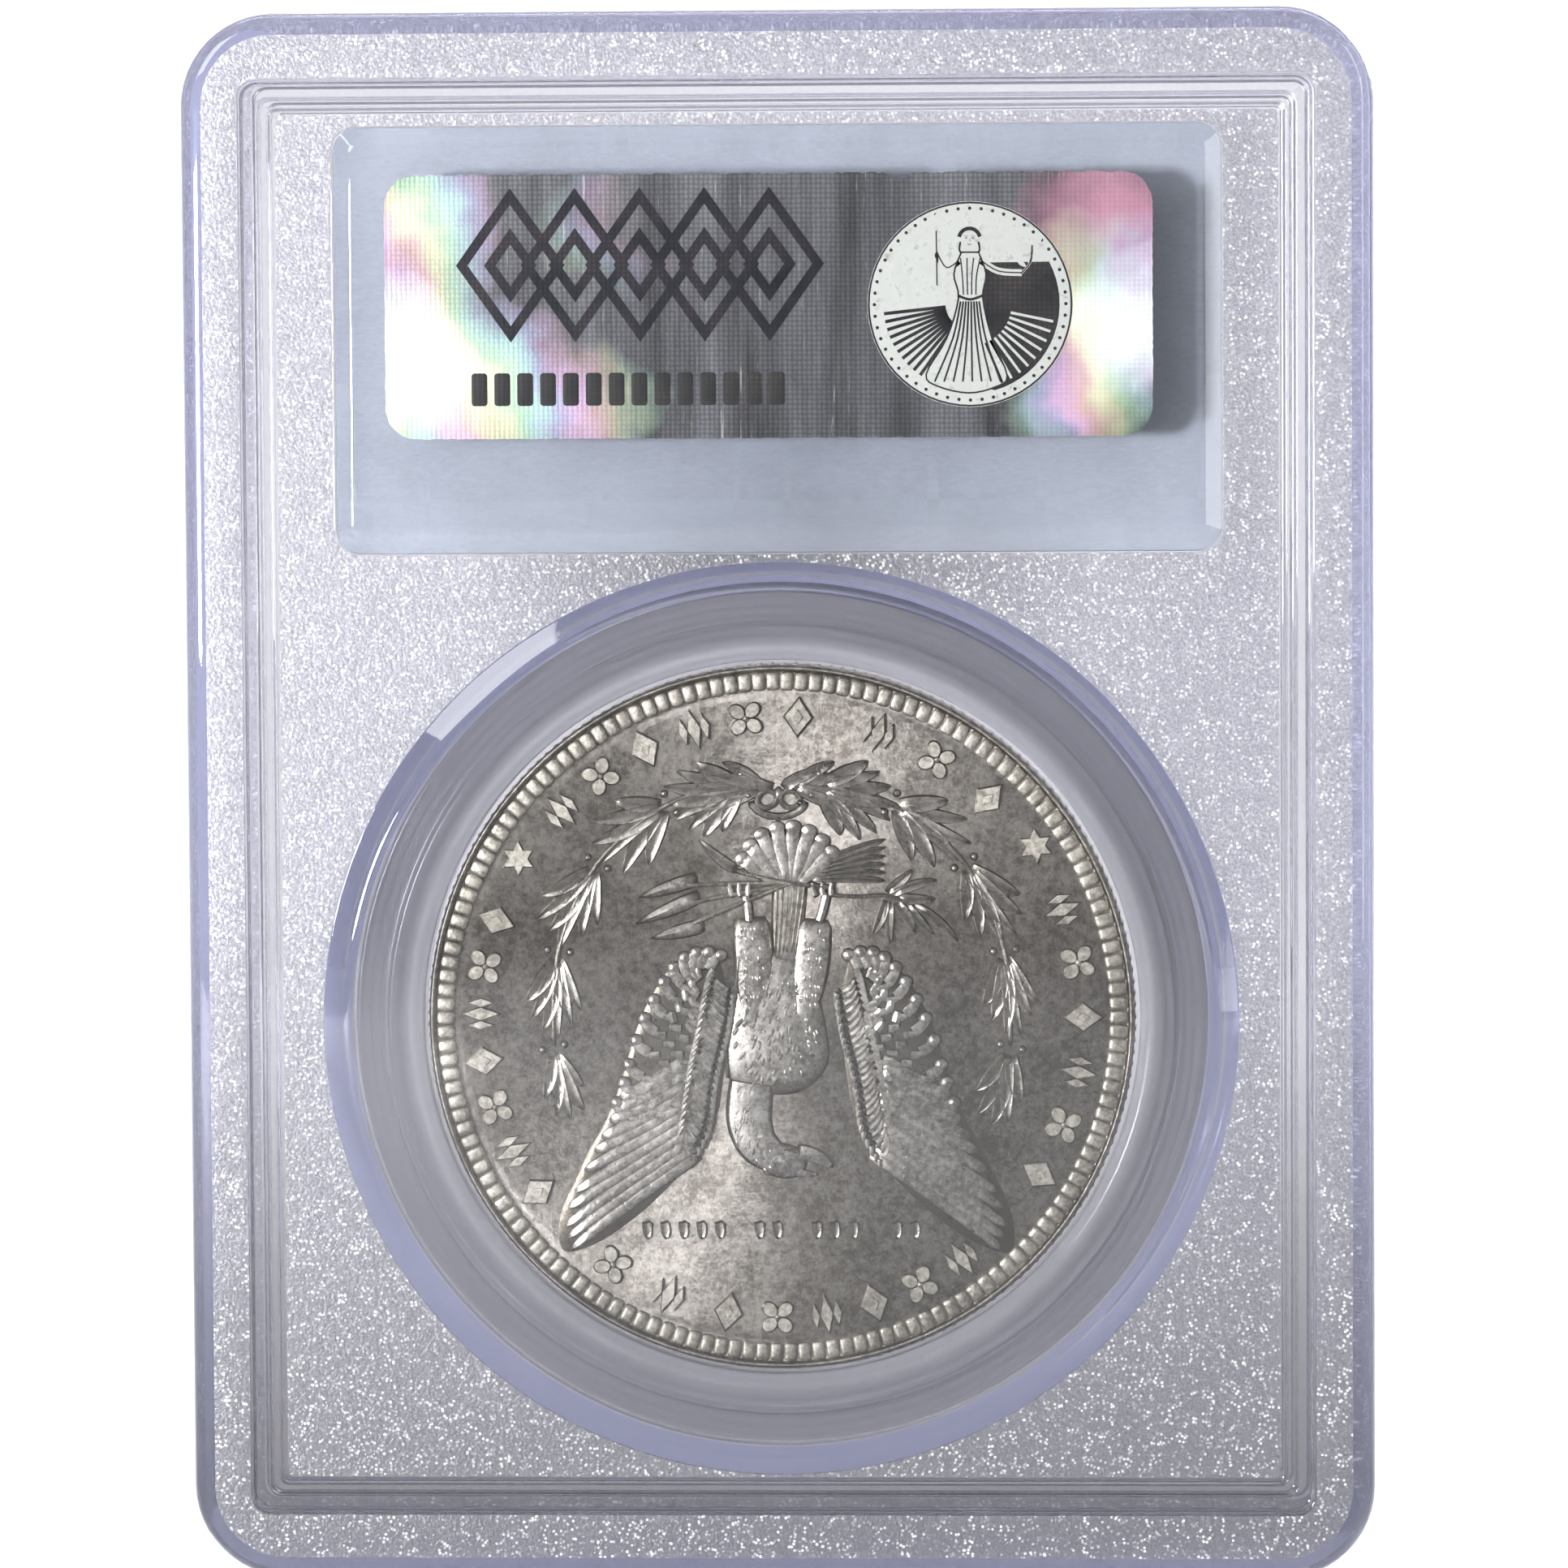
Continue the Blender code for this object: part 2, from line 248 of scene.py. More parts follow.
def painted_shade_share(tree, foot_shade, well_shade, web_shade):
    """How much painted shade darkens the plastic: towards the foot, where the light falls off, round the
    coin's well and in the web above it, where shade falls.
    """
    place = object_coordinates(tree, stretch=(1, 0, 1))
    height = add_node(tree, "SeparateXYZ", {0: place}, output="Z")
    share = add_node(tree, "MapRange", {0: height, 1: 2 * MM, 2: 36 * MM, 3: foot_shade, 4: 0.0})
    # Painted shade: a darker ring round the coin's well and a darker patch in the web between the card and
    # the coin.
    shade_spots = (
        (COIN_CENTRE.z, 20.4 * MM, 22.5 * MM, 25.5 * MM, well_shade),
        ((COIN_CENTRE.z + CARD_LOW.z) / 2 + 12 * MM, 0.1 * MM, 3 * MM, 17 * MM, web_shade),
    )
    for spot_height, hollow, inner, outer, strength in shade_spots:
        gap = add_node(
            tree, "VectorMath", {0: place, 1: (0, 0, spot_height)}, operation="DISTANCE", output="Value"
        )
        spot = add_node(tree, "MapRange", {0: gap, 1: inner, 2: outer, 3: strength, 4: 0.0})
        outside = add_node(tree, "MapRange", {0: gap, 1: hollow * 0.93, 2: hollow})
        spot = add_node(tree, "Math", {0: spot, 1: outside}, operation="MULTIPLY")
        share = add_node(tree, "Math", {0: share, 1: spot}, operation="MAXIMUM")
    return share


def deepened(hue, factor):
    """A colour with its light reduced by a factor."""
    return tuple(channel * factor for channel in hue[:3]) + (1.0,)


def polished_polystyrene(name, tint, shade):
    """Clear polystyrene from a polished mould: glossy, water-clear, with faint hairlines from handling, and
    painted shade in its colour towards the foot, round the coin's well and in the web above it.
    """
    material, tree = new_material(name)
    place = object_coordinates(tree, stretch=(1, 1, 0.06))
    hairlines = add_node(tree, "TexNoise", {"Vector": place, "Scale": 900, "Detail": 6, "Roughness": 0.7})
    bump = add_node(tree, "Bump", {"Strength": 0.06, "Distance": 0.00002, "Height": hairlines})
    return finish(
        material,
        {
            # Base colour: the tint with painted shade mixed in towards the foot, round the coin's well and in
            # the web above it.
            "Base Color": add_node(
                tree,
                "Mix",
                {0: painted_shade_share(tree, 0.75, 0.62, 0.5), 6: tint, 7: deepened(tint, 0.55)},
                data_type="RGBA",
                output=2,
            ),
            "Roughness": add_node(tree, "MapRange", {0: hairlines, 1: 0.55, 2: 0.75, 3: 0.015, 4: 0.09}),
            "IOR": POLYSTYRENE_IOR,
            "Transmission Weight": 1.0,
            "Normal": bump,
        },
        shade,
    )


def stippled_polystyrene(name, tint, shade, grain):
    """Clear polystyrene from a spark-eroded mould: a fine stipple that frosts it, with glints painted on as
    white specks, painted shade as dark specks, and painted shade towards the foot, round the coin's well and
    in the web above it.
    """
    material, tree = new_material(name)
    place = object_coordinates(tree)
    pits = add_node(tree, "TexNoise", {"Vector": place, "Scale": 1 / grain, "Roughness": 0.6})
    mottle = add_node(tree, "TexNoise", {"Vector": place, "Scale": 150, "Detail": 3, "Roughness": 0.6})
    cells = add_node(
        tree, "TexVoronoi", {"Vector": place, "Scale": 0.9 / grain}, feature="F1", output="Distance"
    )
    # Painted glints: white specks where the stipple would catch the lamp, scattered in patches.
    painted_glint = add_node(tree, "MapRange", {0: cells, 1: 0.20, 2: 0.44, 3: 1.0, 4: 0.0})
    painted_glint_patches = add_node(
        tree,
        "MapRange",
        {0: add_node(tree, "TexNoise", {"Vector": place, "Scale": 0.35 / grain}), 1: 0.40, 2: 0.62},
    )
    painted_glint_specks = add_node(tree, "Math", {0: painted_glint, 1: painted_glint_patches}, operation="MULTIPLY")
    frost = add_node(tree, "MapRange", {0: mottle, 1: 0.35, 2: 0.65, 3: 0.50, 4: 0.60})
    open_share = add_node(tree, "Math", {0: painted_glint_specks, 1: -0.45}, operation="MULTIPLY")
    clearness = add_node(tree, "Math", {0: frost, 1: open_share}, operation="ADD", use_clamp=True)
    bump = add_node(tree, "Bump", {"Strength": 1.0, "Distance": 0.00006, "Height": pits})
    # Painted shade: dark specks for the shaded pits of the stipple.
    painted_pit_shade_noise = add_node(tree, "TexNoise", {"Vector": place, "Scale": 1.6 / grain, "Roughness": 0.7})
    # Painted shade towards the foot, round the coin's well and, strongest, in the web above it.
    body = add_node(
        tree,
        "Mix",
        {0: painted_shade_share(tree, 0.75, 0.5, 1.0), 6: tint, 7: deepened(tint, 0.36)},
        data_type="RGBA",
        output=2,
    )
    shadowed = add_node(
        tree,
        "Mix",
        {
            0: add_node(tree, "MapRange", {0: painted_pit_shade_noise, 1: 0.42, 2: 0.62, 3: 0.55, 4: 0.0}),
            6: body,
            7: linear("6E6F78"),
        },
        data_type="RGBA",
        output=2,
    )
    return finish(
        material,
        {
            # Base colour: the shaded body with the painted glints in white.
            "Base Color": add_node(
                tree, "Mix", {0: painted_glint_specks, 6: shadowed, 7: linear("FFFFFF")}, data_type="RGBA", output=2
            ),
            "Roughness": add_node(tree, "MapRange", {0: mottle, 1: 0.35, 2: 0.65, 3: 0.26, 4: 0.34}),
            "IOR": POLYSTYRENE_IOR,
            "Transmission Weight": clearness,
            "Normal": bump,
        },
        shade,
    )


def clear_elastomer(settings):
    """Clear soft ring, moulded satin: it looks like thick water-white rubber with a soft sheen, and a painted
    highlight as a white band on the lip next to the coin.
    """
    material, tree = new_material("clear_elastomer")
    place = object_coordinates(tree)
    bump = add_node(
        tree,
        "Bump",
        {
            "Strength": 0.2,
            "Distance": 0.00003,
            "Height": add_node(tree, "TexNoise", {"Vector": place, "Scale": 1500}),
        },
    )
    flat = object_coordinates(tree, stretch=(1, 0, 1))
    gap = add_node(
        tree, "VectorMath", {0: flat, 1: (0, 0, COIN_CENTRE.z)}, operation="DISTANCE", output="Value"
    )
    radius = gap
    ripple = add_node(tree, "Math", {0: radius, 1: 2 * math.pi / (0.5 * MM)}, operation="MULTIPLY")
    ripple = add_node(tree, "Math", {0: ripple}, operation="SINE")
    rings = add_node(tree, "MapRange", {0: ripple, 1: 0.2, 4: 0.5})
    ringed = add_node(
        tree,
        "Mix",
        {0: rings, 6: settings.gasket, 7: deepened(settings.gasket, 0.6)},
        data_type="RGBA",
        output=2,
    )
    # Painted highlight: a white band on the lip next to the coin.
    lip = add_node(
        tree,
        "MapRange",
        {0: radius, 1: COIN_RADIUS + 0.9 * MM, 2: COIN_RADIUS + 1.4 * MM, 3: 0.40, 4: 0.0},
    )
    return finish(
        material,
        {
            "Base Color": add_node(
                tree, "Mix", {0: lip, 6: ringed, 7: linear("FFFFFF")}, data_type="RGBA", output=2
            ),
            "Roughness": add_node(
                tree,
                "MapRange",
                {
                    0: add_node(tree, "TexNoise", {"Vector": place, "Scale": 300}),
                    1: 0.3,
                    2: 0.7,
                    3: 0.12,
                    4: 0.22,
                },
            ),
            "IOR": 1.42,
            "Transmission Weight": 0.75,
            "Normal": bump,
        },
        linear("F4F4F6"),
    )


def struck_silver(name, dull, bright, anisotropy, softness, tone_and_shade_below=None, highlight_above=None):
    """Coin silver struck by polished dies: radial flow lines give it a cartwheel of light.

    With the last two values, metal below the first height stays toned and takes painted shade, and metal
    above the second is bright as a painted highlight.
    """
    material, tree = new_material(name)
    place = object_coordinates(tree, offset=(0, 0, -COIN_CENTRE.z))
    flat = add_node(tree, "VectorMath", {0: place, 1: (1, 0, 1)}, operation="MULTIPLY")
    outward = add_node(tree, "VectorMath", {0: flat}, operation="NORMALIZE")
    around_axis = add_node(tree, "VectorMath", {0: outward, 1: (0, 1, 0)}, operation="CROSS_PRODUCT")
    grain = add_node(tree, "TexNoise", {"Vector": place, "Scale": 5200, "Roughness": 0.6})
    marks = add_node(tree, "TexNoise", {"Vector": place, "Scale": 1500, "Detail": 5, "Roughness": 0.75})
    bump_grain = add_node(tree, "Bump", {"Strength": 0.35, "Distance": 0.00003, "Height": grain})
    bump = add_node(
        tree, "Bump", {"Strength": 0.35, "Distance": 0.00006, "Height": marks, "Normal": bump_grain}
    )
    patches = add_node(tree, "TexNoise", {"Vector": place, "Scale": 260, "Detail": 5, "Roughness": 0.7})
    flecks = add_node(tree, "TexNoise", {"Vector": place, "Scale": 2900, "Detail": 5, "Roughness": 0.8})
    both = add_node(tree, "Math", {0: patches, 1: 0.55, 2: flecks}, operation="MULTIPLY_ADD")
    if tone_and_shade_below is None:
        clean_and_lit_share = add_node(tree, "MapRange", {0: both, 1: 0.66, 2: 0.92})
    else:
        # Toning and painted shade in the hollows, painted highlight on the ridges, by height above the field.
        depth = add_node(tree, "SeparateXYZ", {0: place}, output="Y")
        height = add_node(tree, "Math", {0: depth}, operation="ABSOLUTE")
        raised = add_node(tree, "MapRange", {0: height, 1: tone_and_shade_below, 2: highlight_above})
        rubbed = add_node(tree, "MapRange", {0: both, 1: 0.66, 2: 0.92, 3: 0.2})
        clean_and_lit_share = add_node(tree, "Math", {0: raised, 1: rubbed}, operation="MULTIPLY")
    return finish(
        material,
        {
            "Base Color": add_node(
                tree, "Mix", {0: clean_and_lit_share, 6: dull, 7: bright}, data_type="RGBA", output=2
            ),
            "Metallic": 1.0,
            "Roughness": add_node(
                tree, "MapRange", {0: marks, 1: 0.3, 2: 0.7, 3: softness - 0.05, 4: softness + 0.05}
            ),
            "Anisotropic": anisotropy,
            "Tangent": around_axis,
            "Normal": bump,
        },
    )


def coin_metals(settings):
    """The faintly toned fields and the brighter raised devices, with toning and painted shade in their
    hollows, made once for all the coin's pieces.
    """
    if "struck_silver_field" not in bpy.data.materials:
        struck_silver("struck_silver_field", settings.toned, settings.silver_field, 0.85, 0.35)
        # The devices darken in their hollows (toning and painted shade) and brighten on their ridges (painted
        # highlight).
        field = COIN_RIM_FACE - settings.field_depth
        heights = (field + 0.07 * MM, field + 0.25 * MM)
        struck_silver("struck_silver_device", settings.hollow_tone_and_shade, settings.silver, 0.3, 0.30, *heights)
        struck_silver("struck_silver_border", settings.device_shade, settings.border, 0.2, 0.46)
    return tuple(bpy.data.materials["struck_silver_" + part] for part in ("field", "device", "border"))


def label_paper(settings):
    """Uncoated pale blue card: matt, with soft mottling and fine fibres."""
    material, tree = new_material("label_paper")
    place = object_coordinates(tree)
    cloud = add_node(tree, "TexNoise", {"Vector": place, "Scale": 130, "Detail": 4, "Roughness": 0.6})
    fibres = add_node(
        tree,
        "TexNoise",
        {
            "Vector": object_coordinates(tree, stretch=(1, 1, 3)),
            "Scale": 2600,
            "Detail": 4,
            "Roughness": 0.7,
        },
    )
    both = add_node(tree, "Math", {0: cloud, 1: fibres}, operation="ADD")
    darker = deepened(settings.paper, 0.80)
    bump = add_node(tree, "Bump", {"Strength": 0.3, "Distance": 0.00004, "Height": fibres})
    return finish(
        material,
        {
            "Base Color": add_node(
                tree,
                "Mix",
                {0: add_node(tree, "MapRange", {0: both, 1: 0.75, 2: 1.2}), 6: darker, 7: settings.paper},
                data_type="RGBA",
                output=2,
            ),
            "Roughness": add_node(tree, "MapRange", {0: fibres, 1: 0.3, 2: 0.7, 3: 0.78, 4: 0.9}),
            "Normal": bump,
        },
    )


def offset_print(name, ink):
    """Flat offset ink on card: matt, a little uneven where the fibres took less of it."""
    material, tree = new_material(name)
    grain = add_node(
        tree,
        "TexNoise",
        {"Vector": object_coordinates(tree), "Scale": 2400, "Detail": 3, "Roughness": 0.7},
    )
    paler = tuple(min(1.0, channel * 1.6 + 0.03) for channel in ink[:3]) + (1.0,)
    return finish(
        material,
        {
            "Base Color": add_node(
                tree,
                "Mix",
                {0: add_node(tree, "MapRange", {0: grain, 1: 0.5, 2: 0.75}), 6: ink, 7: paler},
                data_type="RGBA",
                output=2,
            ),
            "Roughness": add_node(tree, "MapRange", {0: grain, 1: 0.3, 2: 0.7, 3: 0.55, 4: 0.7}),
        },
    )


def woven_dots(tree, spacing):
    """A fine net of embossed dots, 0 between them and 1 on them."""
    place = object_coordinates(tree, stretch=(1 / spacing,) * 3)
    dots = add_node(
        tree,
        "TexVoronoi",
        {"Vector": place, "Scale": 1.0, "Randomness": 0.12},
        feature="F1",
        output="Distance",
    )
    return add_node(tree, "MapRange", {0: dots, 1: 0.25, 2: 0.6, 3: 1.0, 4: 0.0})


def blot(tree, place, u, v, inner, outer):
    """1 inside a soft round patch and 0 outside it; in millimetres from the seal's centre."""
    centre = SEAL_CENTRE + Vector((u * MM, 0, v * MM))
    gap = add_node(tree, "VectorMath", {0: place, 1: centre}, operation="DISTANCE", output="Value")
    return add_node(tree, "MapRange", {0: gap, 1: inner * MM, 2: outer * MM, 3: 1.0, 4: 0.0})


def security_foil(settings):
    """Embossed diffraction foil: dark streaked metal with a net of dots, and painted reflections at its ends:
    patches of rainbow colour and white glare.
    """
    material, tree = new_material("security_foil")
    dots = woven_dots(tree, FOIL_NET)
    place = object_coordinates(tree)
    swirl = add_node(
        tree,
        "TexNoise",
        {"Vector": place, "Scale": 160.0, "Detail": 3.0, "Roughness": 0.6},
        output="Color",
    )
    shift = add_node(tree, "VectorMath", {0: swirl, 1: (0.5, 0.5, 0.5)}, operation="SUBTRACT")
    push = add_node(tree, "VectorMath", {0: shift, "Scale": 0.008}, operation="SCALE")
    bent_place = add_node(tree, "VectorMath", {0: place, 1: push}, operation="ADD")
    scratches = add_node(
        tree,
        "TexNoise",
        {
            "Vector": object_coordinates(tree, stretch=(1, 1, 0.05)),
            "Scale": 3000,
            "Detail": 4,
            "Roughness": 0.75,
        },
    )
    streaks = add_node(
        tree,
        "TexNoise",
        {
            "Vector": object_coordinates(tree, stretch=(1, 1, 0.12)),
            "Scale": 190,
            "Detail": 4,
            "Roughness": 0.65,
        },
    )
    darker = deepened(settings.foil, 0.45)
    paler = tuple(min(1.0, channel * 2.1) for channel in settings.foil[:3]) + (1.0,)
    metal = add_node(
        tree,
        "Mix",
        {0: add_node(tree, "MapRange", {0: streaks, 1: 0.36, 2: 0.66}), 6: darker, 7: paler},
        data_type="RGBA",
        output=2,
    )
    shown = add_node(
        tree,
        "Mix",
        {0: add_node(tree, "MapRange", {0: dots, 3: 0.45, 4: 0.0}), 6: metal, 7: linear("1E1E22")},
        data_type="RGBA",
        output=2,
    )
    shown = add_node(
        tree,
        "Mix",
        {
            0: add_node(tree, "MapRange", {0: scratches, 1: 0.62, 2: 0.78, 4: 0.6}),
            6: shown,
            7: linear("D5D3D0"),
        },
        data_type="RGBA",
        output=2,
    )
    parts = add_node(tree, "SeparateXYZ", {0: bent_place})
    turn = add_node(tree, "Math", {0: parts.node.outputs["X"], 1: 150.0}, operation="MULTIPLY")
    slant = add_node(tree, "Math", {0: parts.node.outputs["Z"], 1: 55.0}, operation="MULTIPLY")
    hue = add_node(tree, "Math", {0: turn, 1: slant}, operation="ADD")
    hue = add_node(tree, "Math", {0: hue}, operation="FRACT")
    spectrum = add_node(tree, "CombineColor", {"Red": hue, "Green": 0.34, "Blue": 0.86}, mode="HSV")
    # Painted reflections: rainbow patches and white glare fixed on the foil at its ends.
    painted_glares = (
        (-18.6, 4.6, 0.6, 5.2, spectrum, 0.75),
        (-17.4, -4.6, 1.5, 7.4, spectrum, 0.9),
        (-19.4, -3.4, 0.2, 4.6, linear("F4F1F1"), 0.9),
        (-10.2, -5.9, 0.0, 4.4, spectrum, 0.5),
        (-8.6, 4.2, 0.0, 3.2, spectrum, 0.25),
        (17.6, 5.0, 0.6, 5.0, linear("C58DA4"), 0.8),
        (18.4, -1.2, 0.8, 6.6, spectrum, 0.85),
        (19.6, -1.0, 0.2, 4.2, linear("F6F0F4"), 0.85),
        (16.6, -5.6, 0.0, 4.0, spectrum, 0.6),
    )
    for u, v, inner, outer, tint, strength in painted_glares:
        mask = blot(tree, bent_place, u, v, inner, outer)
        share = add_node(tree, "Math", {0: mask, 1: strength}, operation="MULTIPLY")
        shown = add_node(tree, "Mix", {0: share, 6: shown, 7: tint}, data_type="RGBA", output=2)
    bump = add_node(tree, "Bump", {"Strength": 0.25, "Distance": 0.00003, "Height": dots})
    return finish(
        material,
        {
            "Base Color": shown,
            "Metallic": 0.35,
            "Roughness": add_node(tree, "MapRange", {0: scratches, 1: 0.3, 2: 0.75, 3: 0.32, 4: 0.5}),
            "Normal": bump,
        },
    )


def foil_ink(name, ink, metallic, roughness):
    """Ink on foil: it keeps a little of the foil's net of dots and its sheen."""
    material, tree = new_material(name)
    dots = woven_dots(tree, FOIL_NET)
    wash = add_node(
        tree,
        "TexNoise",
        {"Vector": object_coordinates(tree), "Scale": 420, "Detail": 3, "Roughness": 0.6},
    )
    tinted = add_node(
        tree,
        "Mix",
        {0: add_node(tree, "MapRange", {0: wash, 1: 0.45, 2: 0.7, 4: 0.35}), 6: ink, 7: linear("6B5C4A")},
        data_type="RGBA",
        output=2,
    )
    darker = deepened(ink, 0.75)
    bump = add_node(tree, "Bump", {"Strength": 0.15, "Distance": 0.00002, "Height": dots})
    return finish(
        material,
        {
            "Base Color": add_node(
                tree,
                "Mix",
                {0: add_node(tree, "MapRange", {0: dots, 4: 0.6}), 6: darker, 7: tinted},
                data_type="RGBA",
                output=2,
            ),
            "Metallic": metallic,
            "Roughness": add_node(
                tree, "MapRange", {0: wash, 1: 0.3, 2: 0.7, 3: roughness * 0.8, 4: roughness * 1.2}
            ),
            "Normal": bump,
        },
    )


def medallion_silver(settings):
    """Bright silver print on the foil: satin, with the finest specks of wear."""
    material, tree = new_material("medallion_silver")
    place = object_coordinates(tree)
    wear = add_node(tree, "TexNoise", {"Vector": place, "Scale": 1900, "Detail": 4, "Roughness": 0.7})
    greyer = deepened(settings.medallion, 0.55)
    bump = add_node(tree, "Bump", {"Strength": 0.2, "Distance": 0.00003, "Height": wear})
    return finish(
        material,
        {
            "Base Color": add_node(
                tree,
                "Mix",
                {
                    0: add_node(tree, "MapRange", {0: wear, 1: 0.55, 2: 0.72}),
                    6: settings.medallion,
                    7: greyer,
                },
                data_type="RGBA",
                output=2,
            ),
            "Metallic": 0.4,
            "Roughness": add_node(tree, "MapRange", {0: wear, 1: 0.3, 2: 0.7, 3: 0.35, 4: 0.5}),
            "Normal": bump,
        },
    )


def studio_floor(settings):
    """Matt white laminate: even and pale, with the faintest mottling."""
    material, tree = new_material("studio_floor")
    mottle = add_node(tree, "TexNoise", {"Vector": object_coordinates(tree), "Scale": 40, "Detail": 3})
    return finish(
        material,
        {
            "Base Color": settings.floor,
            "Roughness": add_node(tree, "MapRange", {0: mottle, 1: 0.3, 2: 0.7, 3: 0.75, 4: 0.85}),
        },
    )


# ---------------------------------------------------------------------------------------------
# Mesh helpers


def rounded_rectangle(width, height, radius, steps):
    """Points (x, z) of a rounded rectangle about its centre, anticlockwise from the right-hand side."""
    points = []
    for quarter in range(4):
        side_x = 1 if quarter in (0, 3) else -1
        side_z = 1 if quarter in (0, 1) else -1
        centre_x = side_x * (width / 2 - radius)
        centre_z = side_z * (height / 2 - radius)
        for step in range(steps + 1):
            angle = (quarter + step / steps) * math.pi / 2
            points.append((centre_x + radius * math.cos(angle), centre_z + radius * math.sin(angle)))
    return points


def circle(radius, steps):
    """Points (x, z) of a circle about its centre, anticlockwise from the right-hand side."""
    turns = [2 * math.pi * step / steps for step in range(steps)]
    return [(radius * math.cos(turn), radius * math.sin(turn)) for turn in turns]


def softened(corners, steps=3):
    """A profile of (a, b) points in which each (a, b, radius) corner is rounded."""
    points = [Vector(corner[:2]) for corner in corners]
    profile = [points[0]]
    for i in range(1, len(points) - 1):
        radius = corners[i][2]
        to_before = points[i - 1] - points[i]
        to_after = points[i + 1] - points[i]
        start = points[i] + to_before.normalized() * min(radius, to_before.length * 0.49)
        end = points[i] + to_after.normalized() * min(radius, to_after.length * 0.49)
        for step in range(steps + 1):
            t = step / steps
            profile.append(start * (1 - t) ** 2 + points[i] * 2 * t * (1 - t) + end * t * t)
    profile.append(points[-1])
    return profile


def add_loop(bm, outline, y, centre):
    """A loop of vertices: a flat outline at a depth y."""
    return [bm.verts.new((centre.x + x, y, centre.z + z)) for x, z in outline]


def bridge(bm, lower, upper, slot=0, smooth=True):
    """Quads between two loops of vertices."""
    count = len(lower)
    for i in range(count):
        following = (i + 1) % count
        face = bm.faces.new((lower[i], lower[following], upper[following], upper[i]))
        face.material_index = slot
        face.smooth = smooth


def skin(bm, loops, slot=0, smooth=True):
    """Quads between each loop and the next."""
    for lower, upper in zip(loops, loops[1:]):
        bridge(bm, lower, upper, slot, smooth)


def cap(bm, loop, slot=0):
    """One flat face over a loop."""
    face = bm.faces.new(loop)
    face.material_index = slot
    face.smooth = False


def solid(bm, loops, smooth=True):
    """A closed solid through loops, capped at both ends."""
    skin(bm, loops, 0, smooth)
    cap(bm, loops[0])
    cap(bm, loops[-1])


def edges_of(bm, loop):
    """The edges along a loop, made where they are missing."""
    edges = []
    for first, second in zip(loop, loop[1:] + loop[:1]):
        edges.append(bm.edges.get((first, second)) or bm.edges.new((first, second)))
    return edges


def fill_between(bm, loops, slot):
    """A flat sheet between an outer loop and the holes in it."""
    edges = [edge for loop in loops for edge in edges_of(bm, loop)]
    filled = bmesh.ops.triangle_fill(bm, use_beauty=True, edges=edges)
    for item in filled["geom"]:
        if isinstance(item, bmesh.types.BMFace):
            item.material_index = slot
            item.smooth = False


def new_object(name, data):
    """An object of the scene that shows the data."""
    item = bpy.data.objects.new(name, data)
    bpy.context.scene.collection.objects.link(item)
    return item


def mesh_object(name, bm, materials, sharp_degrees=None):
    """Turns a bmesh into a piece of the slab, with its faces outwards."""
    bmesh.ops.remove_doubles(bm, verts=bm.verts, dist=1e-7)
    bmesh.ops.dissolve_degenerate(bm, edges=bm.edges, dist=1e-8)
    bmesh.ops.recalc_face_normals(bm, faces=bm.faces)
    mesh = bpy.data.meshes.new(name)
    bm.to_mesh(mesh)
    bm.free()
    if sharp_degrees is not None:
        mesh.shade_smooth()
        mesh.set_sharp_from_angle(angle=math.radians(sharp_degrees))
    for material in materials:
        mesh.materials.append(material)
    return new_object(name, mesh)


def keep_piece(piece, node=None):
    """Rides a finished piece on the slab's one body, and lets it stand for its CAD node."""
    if not piece.data.polygons:
        raise RuntimeError(f"{piece.name} has no faces")
    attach(piece, "root")
    if node:
        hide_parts(node)
    return piece


# ---------------------------------------------------------------------------------------------
# Geometry Nodes: copies of one piece round a circle or along a row


